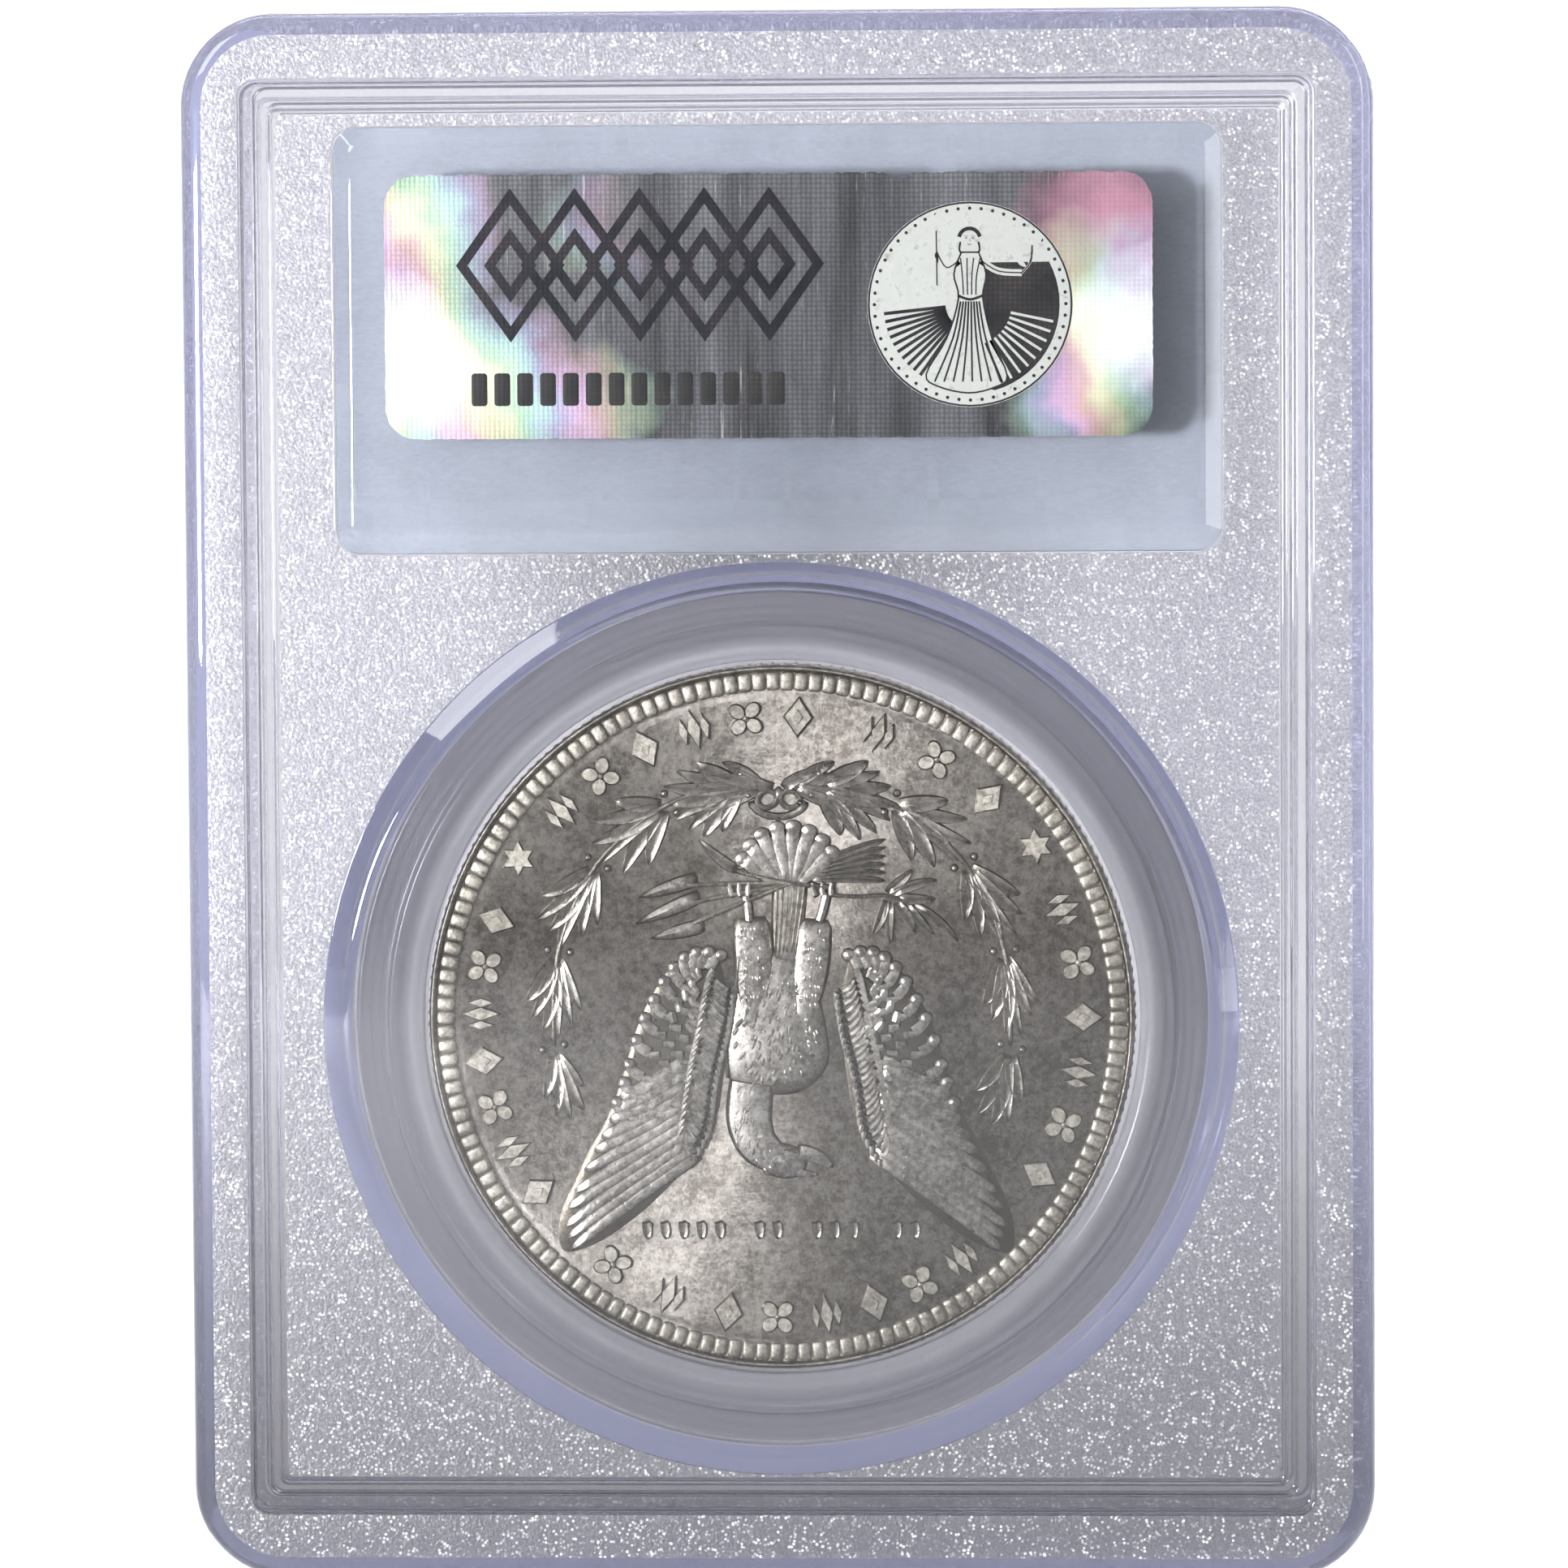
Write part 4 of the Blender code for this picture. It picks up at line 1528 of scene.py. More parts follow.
BREAST = (
    (0.1, 3.8), (-1.0, 3.4), (-2.0, 2.6), (-2.5, 1.4), (-2.85, 0.0), (-3.05, -1.6), (-2.95, -3.2),
    (-2.2, -4.0), (-1.0, -4.2), (0.3, -4.2), (1.3, -3.9), (2.2, -3.1), (2.6, -2.1), (2.4, -0.4),
    (2.1, 1.0), (1.6, 2.4), (1.0, 3.4), (0.1, 3.8),
)
BREAST_HEIGHT = 0.26


def down_feathers(relief, rng, count, place_at, direction_at, size, height):
    """Small overlapping feathers scattered over a rounded part."""
    for i in range(count):
        place, rise = place_at(rng)
        turn = direction_at(place) + rng.uniform(-14, 14)
        reach = size * rng.uniform(0.8, 1.15)
        spine = bent(place, around(place, reach, turn), rng.uniform(-0.15, 0.15), 4)
        relief.blade(spine, size * 0.24, rise + height, SOFT_SECTION, 0.5, 0.2, foot=rise - 0.03)


def bird_body(relief):
    """Breast, neck and hook-billed head, with small feathers over them."""
    breast = curve_through(BREAST, 3)[:-1]
    relief.dome(breast, BREAST_HEIGHT, 9, sharpness=0.42)
    rng = random.Random(5)

    def on_breast(rng):
        angle, share = rng.uniform(0, 360), math.sqrt(rng.uniform(0.0, 0.62))
        place = Vector((-0.25 + 2.75 * share * math.cos(math.radians(angle)),
                        -0.4 + 3.8 * share * math.sin(math.radians(angle))))
        return place, BREAST_HEIGHT * (1 - share * share) ** 0.42

    down_feathers(relief, rng, 110, on_breast, lambda place: -95 + 12 * place.x, 0.56, 0.055)
    ridge = curve_through([(-2.2, 3.6), (-2.45, 1.4), (-2.85, 0.0), (-3.0, -1.8), (-2.9, -3.3)], 5)
    relief.cord(ridge, 0.12, 0.22)
    neck_line = curve_through(
        [(-1.6, -3.4), (-1.75, -4.6), (-1.75, -5.7), (-1.35, -6.8), (-0.5, -7.5), (0.3, -7.8)], 5
    )
    relief.blade(neck_line, 1.30, 0.27, BROAD_SECTION, 0.35, 0.35)
    relief.dome(oval((0.05, -7.75), 1.32, 0.98, -10, 22), 0.28, 6, sharpness=0.42)

    def on_neck(rng):
        place = neck_line[rng.randrange(0, len(neck_line) - 3)]
        offset = rng.uniform(-0.85, 0.85)
        return place + Vector((offset, 0.4 * offset)), 0.25 - 0.10 * offset * offset

    down_feathers(relief, rng, 44, on_neck, lambda place: -108 - 14 * (place.y + 5), 0.62, 0.05)
    relief.blade(bent((0.75, -7.25), (2.75, -8.15), 0.20, 10), 0.46, 0.27, FULL_SECTION, 0.55, 0.35)
    relief.blade(bent((0.6, -8.3), (2.0, -8.5), -0.05, 8), 0.25, 0.22, SOFT_SECTION, 0.6, 0.35)
    relief.dome(oval((0.45, -7.55), 0.20, 0.15, 0, 10), 0.335, 3, foot=0.1)
    relief.cord(bent((-0.1, -7.15), (0.95, -7.3), 0.14, 5), 0.08, 0.30)


def legs_and_claws(relief):
    """Feathered thighs, the vent between them, and the claws that hold the arrows and the branch."""
    relief.blade(bent((0.55, 8.0), (0.2, 2.6), 0.0, 9), 1.0, 0.17, BROAD_SECTION, 0.3, 0.3)
    for i in range(6):
        start, end = (-0.15 + 0.30 * i, 7.6), (-0.35 + 0.20 * i, 3.0)
        relief.cord(bent(start, end, 0.02, 8), 0.09, 0.22)
    thighs = (((-1.65, 5.5), (-1.5, -0.8), 1.15), ((1.85, 5.4), (1.0, -0.6), 1.05))
    rng = random.Random(9)
    for start, end, width in thighs:
        line = bent(start, end, 0.04, 12)
        relief.blade(line, width, 0.24, BROAD_SECTION, 0.45, 0.22)

        def on_thigh(rng, line=line, width=width):
            offset = rng.uniform(-0.55, 0.55) * width
            return line[rng.randrange(1, 10)] + Vector((offset, 0)), 0.235 - 0.08 * offset * offset

        down_feathers(relief, rng, 34, on_thigh, lambda place: -88, 0.62, 0.035)
    for foot, heel in (((-1.95, 6.9), (-1.7, 4.9)), ((2.5, 6.9), (1.95, 4.9))):
        relief.cord(bent(foot, heel, 0.06, 6), 0.30, 0.22)
        for i in range(3):
            start = (foot[0] - 0.55 + 0.42 * i, foot[1] - 0.45)
            end = (foot[0] - 0.75 + 0.55 * i, foot[1] + 0.55)
            relief.blade(bent(start, end, 0.25, 6), 0.17, 0.25, FULL_SECTION, 0.6, 0.35)


def arrows(relief):
    """Three arrows: heads on the left, shafts through the claw, feathered ends on the right."""
    heads = (((-4.35, 7.55), (-7.75, 6.45)), ((-4.2, 6.6), (-7.95, 5.0)), ((-4.0, 5.0), (-7.1, 4.25)))
    for base, tip in heads:
        relief.blade(bent(base, tip, 0.0, 7), 0.46, 0.19, (0.55, 1.0, 0.55), 0.8, 0.3)
    for start, end in (((-5.3, 4.8), (1.6, 7.6)), ((-5.6, 6.0), (1.6, 7.35)), ((-5.6, 7.1), (1.8, 7.2))):
        relief.cord(bent(start, end, 0.02, 10), 0.15, 0.22)
    relief.cord(bent((-2.6, 8.0), (3.0, 7.0), -0.06, 10), 0.17, 0.26)
    for i in range(6):
        start = (1.3, 7.5 + 0.10 * i)
        end = (5.8, 7.35 + 0.46 * i)
        relief.blade(bent(start, end, 0.02, 8), 0.25, 0.17, (0.8, 0.45, 0.9), 0.3, 0.2)
    relief.blade(bent((-2.3, 7.9), (-4.5, 9.7), 0.08, 7), 0.34, 0.16, (0.8, 0.6, 1.0), 0.7, 0.3)


def olive_sprig(relief):
    """A short branch with narrow leaves, held in the right claw."""
    relief.cord(curve_through([(2.6, 6.6), (4.2, 6.5), (5.7, 6.55), (7.2, 6.0)], 6), 0.13, 0.16)
    leaves = (
        ((5.6, 6.7), (7.1, 8.0)),
        ((5.9, 6.6), (8.5, 7.4)),
        ((6.2, 6.5), (8.4, 6.4)),
        ((5.7, 6.4), (4.9, 4.4)),
        ((5.9, 6.3), (5.9, 3.9)),
        ((6.2, 6.3), (7.2, 4.5)),
        ((6.7, 6.2), (8.3, 4.4)),
        ((7.1, 6.1), (9.6, 4.0)),
    )
    for i, (start, end) in enumerate(leaves):
        relief.blade(bent(start, end, 0.09 if i % 2 else -0.09, 7), 0.32, 0.17, (0.9, 0.5, 1.0), 0.7, 0.15)


def motto(relief):
    """A short line of pointed strokes in four groups, under the bird."""
    groups = ((-7.4, 5), (-1.35, 2), (1.75, 3), (6.05, 2))
    for start, count in groups:
        for i in range(count):
            centre = (start + 0.98 * i, -11.5)
            relief.blade(
                bent((centre[0], -10.95), (centre[0] + 0.08, -12.05), 0.12, 6),
                0.30,
                0.13,
                (0.9, 0.6, 1.0),
                0.5,
                0.2,
            )
            if i % 2 == 0:
                relief.dome(oval((centre[0] + 0.30, -11.2), 0.16, 0.16, 0, 8), 0.12, 3)


def sunburst(relief):
    """The front's device: a rayed sun inside a ring, a plain design of no country."""
    for i in range(16):
        angle = 360 * i / 16
        reach = 9.6 if i % 2 == 0 else 7.4
        spine = bent(around((0, 0), 3.4, angle), around((0, 0), reach, angle), 0.0, 8)
        relief.blade(spine, 0.85 if i % 2 == 0 else 0.6, 0.20, (0.5, 1.0, 0.5), 0.8, 0.35)
    relief.dome(oval((0, 0), 3.7, 3.7, 0, 48), 0.26, 8, sharpness=0.4)
    for ring, count, size in ((4.5, 36, 0.16), (10.6, 72, 0.20)):
        for i in range(count):
            relief.dome(oval(around((0, 0), ring, 360 * i / count), size, size, 0, 8), 0.14, 2)
    ring = [around((0, 0), 3.15, 10 * i) for i in range(37)]
    relief.cord(ring, 0.16, 0.27)


# ---------------------------------------------------------------------------------------------
# Operators: the slab's pieces


class SLAB_OT_holder(bpy.types.Operator):
    """Makes the two clear halves that are welded round the coin"""

    bl_idname = "slab.make_holder"
    bl_label = "Clear halves"

    def execute(self, context):
        settings = context.scene.slab_holder
        shade = linear("F6F6FA")
        materials = [
            polished_polystyrene("polished_polystyrene", settings.tint, shade),
            stippled_polystyrene("stippled_polystyrene", settings.haze, shade, settings.stipple),
            # The edge material's darker tint is painted shade for the dark band of the rounded edge.
            polished_polystyrene("edge_shaded_polystyrene", settings.edge_shade_tint, shade),
        ]
        for name, side, node in (("rear_half", REAR, "rear_shell"), ("front_half", FRONT, "front_shell")):
            keep_piece(holder_half(name, side, settings, materials), node)
        return {"FINISHED"}


class SLAB_OT_gasket(bpy.types.Operator):
    """Makes the clear ring that grips the coin"""

    bl_idname = "slab.make_gasket"
    bl_label = "Coin ring"

    def execute(self, context):
        bm = bmesh.new()
        turned(bm, gasket_profile(), ROUND_STEPS)
        piece = mesh_object("clear_ring", bm, [clear_elastomer(context.scene.slab_coin)], 40)
        keep_piece(piece, "coin_gasket")
        return {"FINISHED"}


class SLAB_OT_coin(bpy.types.Operator):
    """Makes the coin's blank, its border beads and its reeded edge"""

    bl_idname = "slab.make_coin"
    bl_label = "Coin blank and border"

    def execute(self, context):
        settings = context.scene.slab_coin
        silver, _, border = coin_metals(settings)
        bm = bmesh.new()
        turned(bm, coin_profile(settings), 192)
        keep_piece(mesh_object("coin_blank", bm, [silver], 30), "coin")
        field = COIN_RIM_FACE - settings.field_depth
        for name, turn in (("rear_border_beads", math.pi / 2), ("front_border_beads", -math.pi / 2)):
            values = {
                "Count": settings.bead_count,
                "Radius": settings.bead_radius,
                "Lift": field,
                "Turn": (turn, 0, 0),
                "Centre": COIN_CENTRE,
                "Material": border,
            }
            keep_piece(make_copies(name, bead_sample(), values))
        values = {
            "Count": settings.reed_count,
            "Radius": COIN_RADIUS - 0.07 * MM,
            "Lift": 0.0,
            "Turn": (math.pi / 2, 0, 0),
            "Centre": COIN_CENTRE,
            "Material": silver,
        }
        reeds = make_copies("edge_reeds", reed_sample(2 * COIN_RIM_FACE - 0.5 * MM), values)
        keep_piece(reeds)
        return {"FINISHED"}


LEGEND_REAR = (
    (161, 215.5, 7), (235.5, 247.5, 2), (259.5, 306.5, 6), (328.5, 381, 6), (406.5, 431, 3),
    (446.5, 496.5, 6),
)
WREATH_JOINTS = (
    ((-2.0, 12.5), 200, 92, 8, 4.5),
    ((-6.0, 11.5), 214, 76, 6, 5.0),
    ((-9.9, 8.25), 240, 62, 6, 5.0),
    ((-12.0, 3.5), 264, 56, 6, 4.8),
    ((-12.3, -1.7), 284, 50, 5, 4.3),
)


class SLAB_OT_rear_relief(bpy.types.Operator):
    """Makes the coin's rear relief: a spread bird in a tied wreath, inside a border of plain ornaments"""

    bl_idname = "slab.make_rear_relief"
    bl_label = "Coin relief, rear"

    def execute(self, context):
        settings = context.scene.slab_coin
        relief = Relief(REAR, settings)
        relief.slot = 1
        legend(relief, LEGEND_REAR)
        for centre, turn in (((-14.1, 8.6), 90), ((13.7, 9.2), 95)):
            relief.plate(star_outline(centre, 1.0, 0.55, 6, turn), 0.16, 0.14)
        relief.slot = 0
        wreath(relief, WREATH_JOINTS, 7, [(-0.6, 12.3)])
        bow_knot(relief, (-0.1, 12.1))
        wing(relief, 1, 0.0)
        wing(relief, -1, 0.35)
        tail_fan(relief, (0.5, 6.7))
        bird_body(relief)
        arrows(relief)
        olive_sprig(relief)
        legs_and_claws(relief)
        motto(relief)
        keep_piece(relief.finish("rear_relief", coin_metals(settings)[1:]))
        return {"FINISHED"}


class SLAB_OT_front_relief(bpy.types.Operator):
    """Makes the coin's front relief: a rayed sun in a wreath, inside a border of stars and ornaments"""

    bl_idname = "slab.make_front_relief"
    bl_label = "Coin relief, front"

    def execute(self, context):
        settings = context.scene.slab_coin
        relief = Relief(FRONT, settings)
        sunburst(relief)
        for i in range(13):
            angle = 218 - 256 * i / 12
            relief.plate(star_outline(around((0, 0), 15.9, angle), 0.95, 0.48, 6, angle), 0.16, 0.14)
        legend(relief, ((244, 296, 6),))
        joints = tuple((around((0, 0), 12.6, 272 - 32 * i), 182 - 32 * i, 70, 6, 3.6) for i in range(5))
        joints = tuple(((j[0].x, j[0].y), *j[1:]) for j in joints)
        wreath(relief, joints, 11)
        keep_piece(relief.finish("front_relief", coin_metals(settings)[1:]))
        return {"FINISHED"}


class SLAB_OT_label(bpy.types.Operator):
    """Makes the pale blue card and the plain printed bars on its front"""

    bl_idname = "slab.make_label"
    bl_label = "Label card"

    def execute(self, context):
        settings = context.scene.slab_label
        bm = bmesh.new()
        half = (CARD_HIGH.y - CARD_LOW.y) / 2
        loops = []
        for clearance, y in ((-0.04, -half), (0, -half + 0.04 * MM), (0, half - 0.04 * MM), (-0.04, half)):
            loops.append(add_loop(bm, card_outline(clearance * MM), y, CARD_CENTRE))
        solid(bm, loops)
        keep_piece(mesh_object("card", bm, [label_paper(settings)]), "label_card")
        ink = offset_print("offset_print", settings.print_dark)
        rows = (("print_band", 38.0, 2.2, 1, 7.6, 0.0), ("print_lines", 24.0, 0.8, 4, 3.4, 2.2))
        for name, width, height, count, top, pitch in rows:
            sample = bar_sample(width, height, 0.02)
            values = {
                "Count": count,
                "Step": (0, pitch * MM, 0),
                "Turn": (-math.pi / 2, 0, 0),
                "Centre": (CARD_CENTRE.x, half, CARD_CENTRE.z + top * MM),
                "Material": ink,
            }
            keep_piece(make_copies(name, sample, values, in_row=True))
        return {"FINISHED"}


def bar_sample(width, height, thickness):
    """A thin bar with bevelled edges, in millimetres, lying in the XY plane."""
    bm = bmesh.new()
    loops = []
    for inset, z in ((0.0, -0.005), (0.0, thickness * 0.6), (0.05, thickness)):
        outline = rounded_rectangle(width - 2 * inset, height - 2 * inset, min(height, width) * 0.2, 3)
        loops.append([bm.verts.new((x * MM, y * MM, z * MM)) for x, y in outline])
    solid(bm, loops)
    return mesh_object("bar_sample", bm, [], 40)


def lozenge_corners(half_width, half_height):
    """The corners of an upright lozenge about its centre."""
    return [Vector(p) for p in ((half_width, 0), (0, half_height), (-half_width, 0), (0, -half_height))]


def foil_outline(rng):
    """The seal's outline, with the nicks and wear that its edges have picked up."""
    size = SEAL_HIGH - SEAL_LOW
    plain = rounded_rectangle(size.x, size.z, 1.7 * MM, 14)
    outline = []
    for (x, z), (next_x, next_z) in zip(plain, plain[1:] + plain[:1]):
        span = math.hypot(next_x - x, next_z - z)
        steps = max(1, round(span / (0.22 * MM)))
        for step in range(steps):
            t = step / steps
            place = Vector((x + (next_x - x) * t, z + (next_z - z) * t))
            wear = rng.uniform(0.0, 0.05)
            if place.y > size.z * 0.42:
                wear = rng.uniform(0.0, 0.11)
            if place.y > size.z * 0.45 and abs(place.x - 7.0 * MM) < 0.7 * MM:
                wear = 0.55 - abs(place.x - 7.0 * MM) / MM * 0.5
            inward = -place.normalized()
            if abs(place.y) > size.z * 0.47:
                inward = Vector((0, -math.copysign(1, place.y)))
            outline.append(tuple(place + inward * wear * MM))
    return outline


class SealArt:
    """Thin printed shapes on the seal, in millimetres from its centre: u right, v up."""

    def __init__(self, lift_mm):
        self.bm = bmesh.new()
        self.lift = lift_mm

    def loop(self, outline, h):
        """A loop of vertices at a height above the foil."""
        places = [(SEAL_CENTRE.x + u * MM, SEAL_FACE - h * MM, SEAL_CENTRE.z + v * MM) for u, v in outline]
        return [self.bm.verts.new(place) for place in places]

    def shape(self, outline, lift=0.0):
        """One flat shape with sides."""
        loops = [self.loop(outline, h) for h in (-0.01, self.lift + lift)]
        solid(self.bm, loops, smooth=False)

    def line(self, spine, half):
        """A line of even width along a spine."""
        pairs = [(place + side * half, place - side * half) for place, side in zip(spine, sides(spine))]
        left, right = zip(*pairs)
        self.shape([*left, *reversed(right)])

    def ring(self, centre, outline, share, lift):
        """A closed band between an outline and its smaller copy."""
        loops = []
        for scale, h in ((1, -0.01), (1, self.lift + lift), (share, self.lift + lift), (share, -0.01)):
            loops.append(self.loop([centre + point * scale for point in outline], h))
        skin(self.bm, loops + loops[:1], smooth=False)

    def finish(self, name, material):
        return mesh_object(name, self.bm, [material])


class SLAB_OT_seal(bpy.types.Operator):
    """Makes the foil seal with its printed lozenges, bars and bright medallion"""

    bl_idname = "slab.make_seal"
    bl_label = "Foil seal"

    def execute(self, context):
        settings = context.scene.slab_label
        rng = random.Random(21)
        bm = bmesh.new()
        outline = foil_outline(rng)
        loops = [add_loop(bm, outline, y, SEAL_CENTRE) for y in (SEAL_HIGH.y, SEAL_FACE)]
        solid(bm, loops, smooth=False)
        keep_piece(
            mesh_object("foil_sheet", bm, [security_foil(settings)]), "hologram_seal"
        )
        keep_piece(self.lattice(settings))
        keep_piece(self.dashes(settings))
        self.medallion(settings)
        return {"FINISHED"}

    def lattice(self, settings):
        """A chain of overlapping lozenges across the seal's left part."""
        art = SealArt(0.006)
        half_height, half_width, pitch, stroke = 4.1, 2.9, 3.45, 0.62
        for i in range(5):
            centre = Vector((-13.7 + pitch * i, 2.2))
            for order, inset in enumerate((0.0, 1.5)):
                tall = half_height * (1 - inset / half_width)
                wide = half_width - inset
                art.ring(centre, lozenge_corners(wide, tall), 1 - stroke / wide, 0.004 * i + 0.002 * order)
        return art.finish("lattice_print", foil_ink("foil_lattice_ink", settings.foil_print, 0.7, 0.42))

    def dashes(self, settings):
        """A bold row of short upright bars under the lozenges."""
        sample = bar_sample(0.85, 1.75, 0.012)
        values = {
            "Count": 14,
            "Step": (1.22 * MM, 0, 0),
            "Turn": (math.pi / 2, 0, 0),
            "Centre": (
                SEAL_CENTRE.x - 15.4 * MM,
                SEAL_FACE,
                SEAL_CENTRE.z - 4.4 * MM,
            ),
            "Material": foil_ink("foil_bar_ink", linear("17181C"), 0.2, 0.5),
        }
        return make_copies("bar_row_print", sample, values, in_row=True)

    def medallion(self, settings):
        """The bright disc: a robed figure on a dark quarter, rays and a ring of dots."""
        silver = medallion_silver(settings)
        middle = Vector((10.75, 0.0))
        disc = SealArt(0.006)
        disc.shape([middle + Vector(p) * 1000 for p in circle(5.45 * MM, 72)])
        keep_piece(disc.finish("medallion_disc", silver))
        dark = SealArt(0.010)
        rim = [around(middle, 4.75, 28 - 6 * i) for i in range(18)]
        dark.shape([middle + Vector((0.5, 2.2)), *rim, middle + Vector((0.5, -4.4))])
        for i in range(13):
            start = 186 + 5.4 * i
            dark.line([around(middle, 1.3, start), around(middle, 4.6, start)], 0.09)
        for i in range(52):
            dark.shape(oval(around(middle, 5.08, 360 * i / 52), 0.10, 0.10, 0, 6))
        dark.line([around(middle, 5.38, 6 * i) for i in range(61)], 0.05)
        ink = foil_ink("medallion_ink", linear("26262B"), 0.3, 0.4)
        keep_piece(dark.finish("medallion_print", ink))
        bright, lines = SealArt(0.016), SealArt(0.021)
        for i in range(9):
            start = -12 - 7.0 * i
            bright.line([around(middle, 2.2, start), around(middle, 4.5, start)], 0.07)
        robed_figure(bright, lines, middle)
        keep_piece(bright.finish("medallion_device", silver))
        keep_piece(lines.finish("medallion_lines", ink))


def robed_figure(bright, lines, middle):
    """A plain standing figure of no one in particular: a long robe, a raised torch and a branch."""
    def path(points, steps=4):
        return [middle + place for place in curve_through(points, steps)]

    robe = path(
        [
            (-0.45, 2.75), (-0.85, 1.6), (-0.62, 0.3), (-1.25, -1.8), (-2.35, -3.7), (-1.7, -4.35),
            (-0.1, -4.7), (1.3, -4.4), (1.95, -3.8), (1.15, -1.8), (0.68, 0.3), (0.85, 1.6),
            (0.45, 2.75),
        ]
    )
    bright.shape(robe)
    lines.line([*robe, robe[0]], 0.045)
    limbs = (
        ([(-0.6, 2.3), (-1.25, 1.95), (-1.75, 2.75)], 0.20),
        ([(0.6, 2.3), (1.5, 1.75), (2.75, 1.65)], 0.18),
        ([(-1.75, 1.0), (-1.78, 3.9)], 0.09),
        ([(2.7, 1.6), (3.2, 2.2), (3.3, 3.1)], 0.06),
    )
    for points, half in limbs:
        lines.line(path(points), 0.035)
        bright.line(path(points), half)
    bright.shape([middle + p for p in leaf_outline(Vector((-1.78, 3.8)), Vector((-1.7, 4.9)), 0.30)])
    for i in range(6):
        root = Vector((3.0 + 0.06 * i, 1.95 + 0.22 * i))
        tip = root + Vector((0.55 if i % 2 else -0.55, 0.42))
        bright.shape([middle + p for p in leaf_outline(root, tip, 0.13)])
    head = middle + Vector((-0.02, 3.45))
    bright.shape(oval(head, 0.46, 0.60, 0, 20))
    hair = [around(head, 0.56, 12 + 13 * i) for i in range(13)]
    lines.line(hair, 0.10)
    lines.line(path([(-0.50, 3.3), (-0.56, 2.9), (-0.45, 2.7)]), 0.05)
    lines.line(path([(0.46, 3.3), (0.52, 2.9), (0.42, 2.7)]), 0.05)
    for swing in (-1, 1):
        eye = head + Vector((0.17 * swing, 0.06))
        lines.shape(oval(eye, 0.06, 0.035, 0, 8))
        lines.line(bent(eye + Vector((-0.09, 0.08)), eye + Vector((0.09, 0.08)), 0.2, 4), 0.014)
    lines.line([head + Vector((0.02, 0.02)), head + Vector((0.045, -0.14))], 0.014)
    lines.line(bent(head + Vector((-0.10, -0.27)), head + Vector((0.10, -0.27)), -0.15, 4), 0.018)
    lines.line(path([(-0.62, 0.45), (0.0, 0.25), (0.66, 0.45)]), 0.07)
    for i in range(4):
        lines.line(path([(-0.5 + 0.35 * i, 2.45), (-0.40 + 0.25 * i, 1.5), (-0.35 + 0.22 * i, 0.5)]), 0.035)
    for i in range(8):
        top, low = -0.5 + 0.14 * i, -1.9 + 0.50 * i
        lines.line(path([(top, 0.15), (top + (low - top) * 0.3, -1.8), (low, -4.1)]), 0.05)


def leaf_outline(start, end, width):
    """A pointed leaf between two points."""
    along = end - start
    side = to_left(along) * width
    left = [start.lerp(end, t) + side * math.sin(math.pi * t) for t in (0.0, 0.25, 0.5, 0.75)]
    right = [start.lerp(end, t) - side * math.sin(math.pi * t) for t in (1.0, 0.75, 0.5, 0.25)]
    return left + right


# ---------------------------------------------------------------------------------------------
# Stage


def area_light(name, place, target, size, power, tint="FFFFFF"):
    """A soft rectangular lamp aimed at a point."""
    data = bpy.data.lights.new(name, "AREA")
    data.shape = "RECTANGLE"
    data.size, data.size_y = size
    data.energy = power
    data.color = linear(tint)[:3]
    lamp = new_object(name, data)
    lamp.location = place
    lamp.rotation_mode = "QUATERNION"
    lamp.rotation_quaternion = (Vector(target) - Vector(place)).to_track_quat("-Z", "Y")


def sweep(material):
    """The floor and the backdrop in one sheet, joined by a wide curve behind the slab."""
    bm = bmesh.new()
    half, near, bend, radius, top = 2.5, -2.0, 0.5, 0.8, 2.6
    profile = [(near, 0.0), (bend, 0.0)]
    for step in range(1, 25):
        turn = math.pi / 2 * step / 24
        profile.append((bend + radius * math.sin(turn), radius * (1 - math.cos(turn))))
    profile.append((bend + radius, top))
    sides = [[bm.verts.new((x, y, z)) for y, z in profile] for x in (-half, half)]
    for i in range(len(profile) - 1):
        face = bm.faces.new((sides[0][i], sides[1][i], sides[1][i + 1], sides[0][i + 1]))
        face.smooth = True
    mesh = bpy.data.meshes.new("floor")
    bm.to_mesh(mesh)
    bm.free()
    mesh.materials.append(material)
    return new_object("floor", mesh)


def studio_world():
    """A pale room: bright overhead and behind the slab, dim in front of its rear face."""
    world = bpy.data.worlds.new("studio")
    world.use_nodes = True
    tree = world.node_tree
    tree.nodes.clear()
    path = add_node(tree, "LightPath")
    direction = add_node(tree, "TexCoord", output="Generated")
    lean = add_node(
        tree, "VectorMath", {0: direction, 1: (0, 0.8, 0.6)}, operation="DOT_PRODUCT", output="Value"
    )
    level = add_node(tree, "MapRange", {0: lean, 1: -0.2, 2: 0.9})
    room = add_node(
        tree, "Mix", {0: level, 6: linear("2E2C2A"), 7: linear("FFFFFF")}, data_type="RGBA", output=2
    )
    seen = add_node(
        tree,
        "Math",
        {0: path.node.outputs["Is Camera Ray"], 1: path.node.outputs["Is Transmission Ray"]},
        operation="MAXIMUM",
    )
    shown = add_node(tree, "Mix", {0: seen, 6: room, 7: linear("F3F3F5")}, data_type="RGBA", output=2)
    background = add_node(tree, "Background", {"Color": shown, "Strength": 1.0})
    add_node(tree, "OutputWorld", {"Surface": background})
    bpy.context.scene.world = world


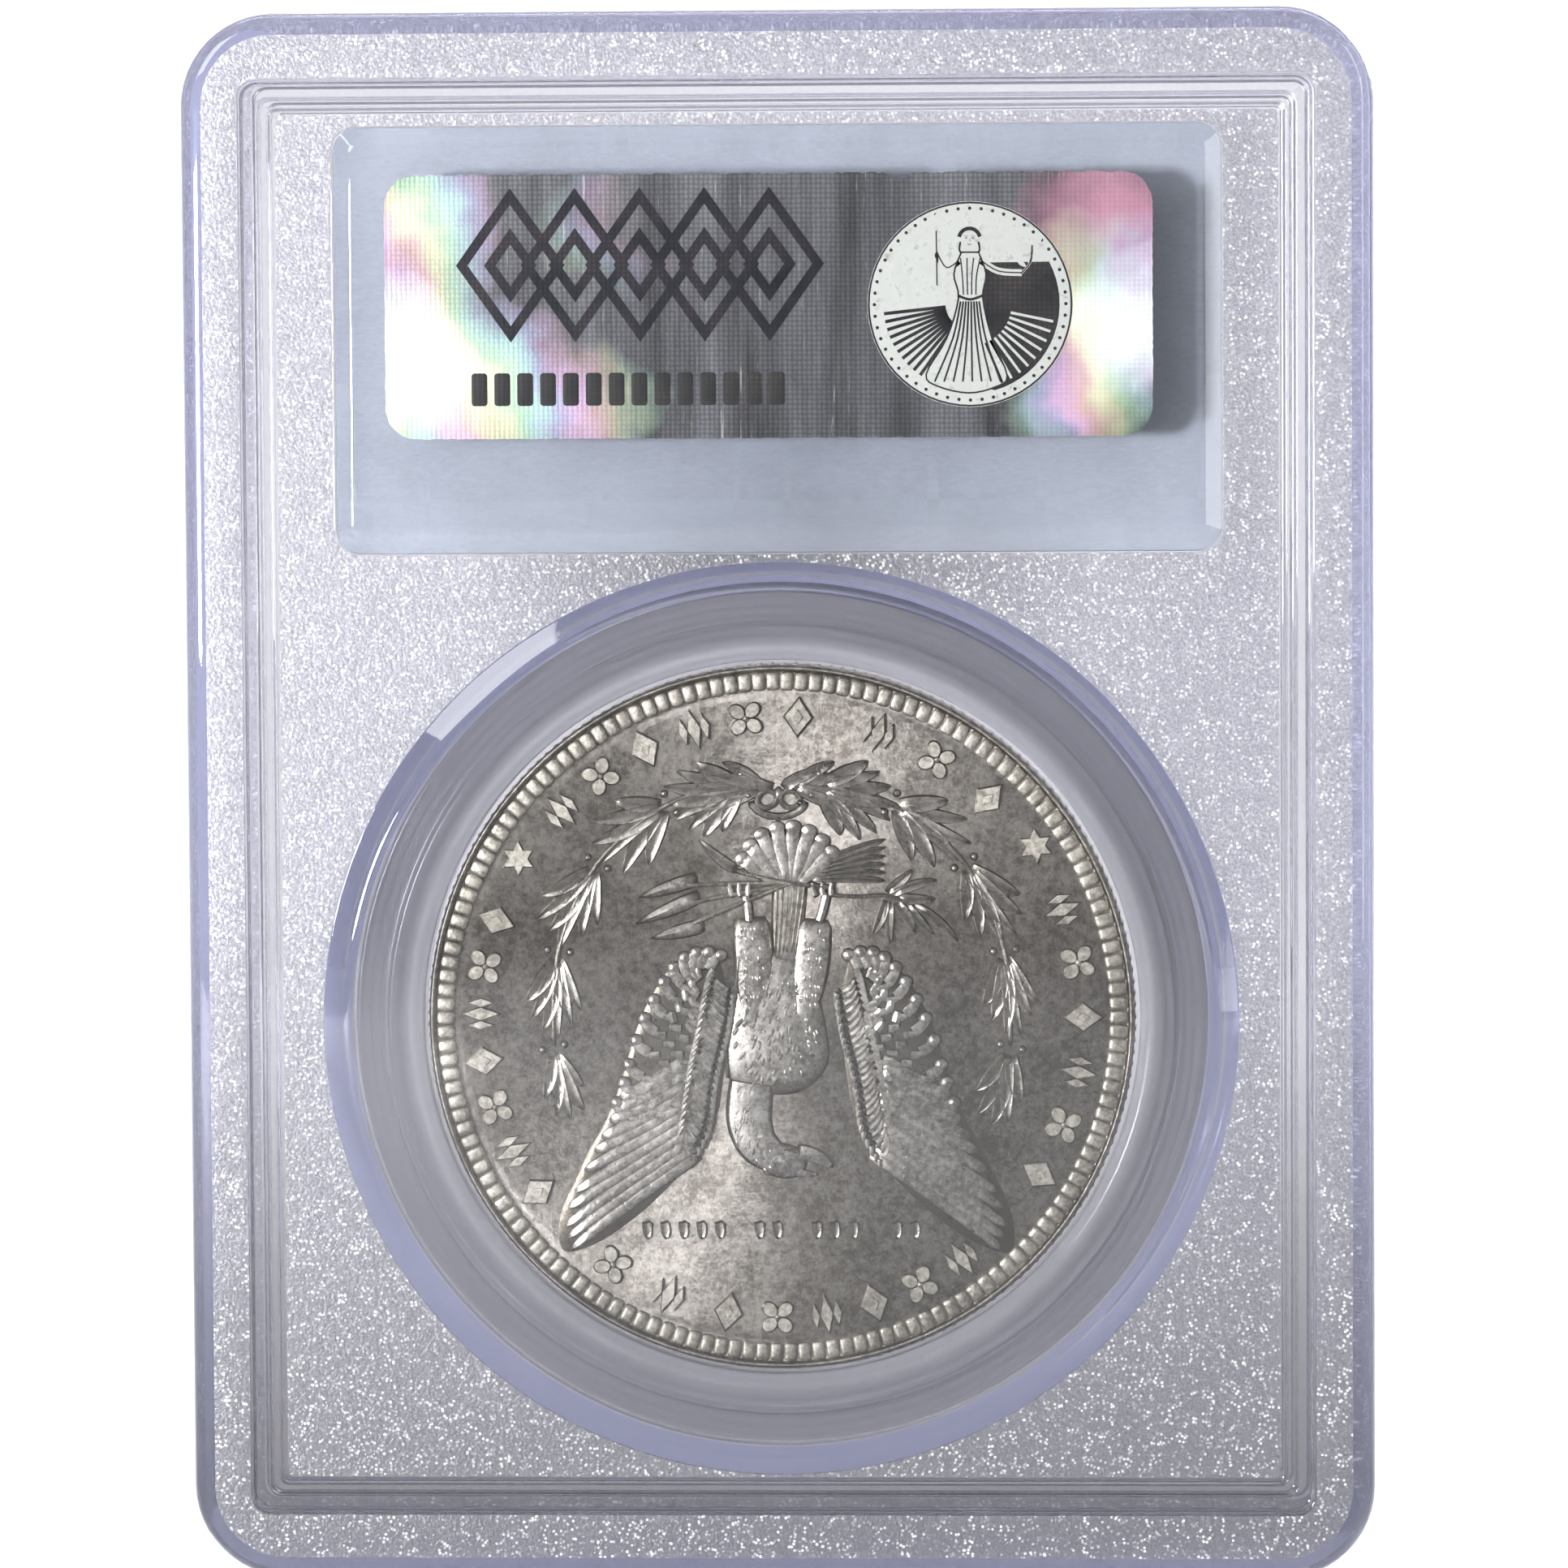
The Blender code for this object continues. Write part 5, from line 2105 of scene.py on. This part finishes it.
class SLAB_OT_stage(bpy.types.Operator):
    """Makes the floor, the lamps and the camera"""

    bl_idname = "slab.make_stage"
    bl_label = "Stage"

    def execute(self, context):
        settings = context.scene.slab_stage
        sweep(studio_floor(settings))
        studio_world()
        middle = SLAB_MIDDLE
        area_light("key_lamp", (-0.12, -0.14, 0.15), middle, (0.05, 0.07), 0.08)
        area_light("lustre_lamp", (-0.20, -0.30, 0.06), COIN_CENTRE, (0.05, 0.05), 1.5)
        area_light("side_lamp", (0.24, -0.20, 0.12), middle, (0.05, 0.24), 0.12)
        area_light("backdrop_lamp", (0.0, 0.35, 0.9), (0, 1.3, 0.4), (0.9, 0.4), 22.0)
        area_light("front_face_lamp", (0.22, 0.34, 0.22), middle, (0.16, 0.16), 0.7)
        data = bpy.data.cameras.new("camera")
        data.sensor_width = 36.0
        data.lens = data.sensor_width * settings.camera_distance / settings.view_height
        data.clip_start, data.clip_end = 0.01, 20.0
        camera = new_object("camera", data)
        level = math.cos(settings.elevation)
        back = Vector(
            (
                math.sin(settings.azimuth) * level,
                -math.cos(settings.azimuth) * level,
                math.sin(settings.elevation),
            )
        )
        aim = middle + Vector((0.13 * MM, 0, 0.57 * MM))
        camera.location = aim + back * settings.camera_distance
        camera.rotation_mode = "QUATERNION"
        upright = (-back).to_track_quat("-Z", "Y")
        camera.rotation_quaternion = upright @ Quaternion((0, 0, 1), settings.roll)
        context.scene.camera = camera
        context.scene.view_settings.view_transform = "Standard"
        return {"FINISHED"}


# ---------------------------------------------------------------------------------------------
# Panel and registration


STEPS = (
    SLAB_OT_holder,
    SLAB_OT_gasket,
    SLAB_OT_coin,
    SLAB_OT_rear_relief,
    SLAB_OT_front_relief,
    SLAB_OT_label,
    SLAB_OT_seal,
    SLAB_OT_stage,
)
GROUPS = {
    "slab_holder": HolderSettings,
    "slab_coin": CoinSettings,
    "slab_label": LabelSettings,
    "slab_stage": StageSettings,
}


class SLAB_PT_panel(bpy.types.Panel):
    """Lists the slab's pieces and their settings"""

    bl_idname = "SLAB_PT_panel"
    bl_label = "Coin slab"
    bl_space_type = "VIEW_3D"
    bl_region_type = "UI"
    bl_category = "Coin slab"

    def draw(self, context):
        for step in STEPS:
            self.layout.operator(step.bl_idname)
        for name, group in GROUPS.items():
            box = self.layout.box()
            for setting in group.__annotations__:
                box.prop(getattr(context.scene, name), setting)


def register():
    for group in GROUPS.values():
        bpy.utils.register_class(group)
    for name, group in GROUPS.items():
        setattr(bpy.types.Scene, name, bpy.props.PointerProperty(type=group))
    for item in (*STEPS, SLAB_PT_panel):
        bpy.utils.register_class(item)


def unregister():
    for item in reversed((*STEPS, SLAB_PT_panel)):
        bpy.utils.unregister_class(item)
    for name in GROUPS:
        delattr(bpy.types.Scene, name)
    for group in reversed(GROUPS.values()):
        bpy.utils.unregister_class(group)


def main():
    register()
    bpy.ops.slab.make_holder()
    bpy.ops.slab.make_gasket()
    bpy.ops.slab.make_coin()
    bpy.ops.slab.make_rear_relief()
    bpy.ops.slab.make_front_relief()
    bpy.ops.slab.make_label()
    bpy.ops.slab.make_seal()
    bpy.ops.slab.make_stage()


if __name__ == "__main__":
    main()
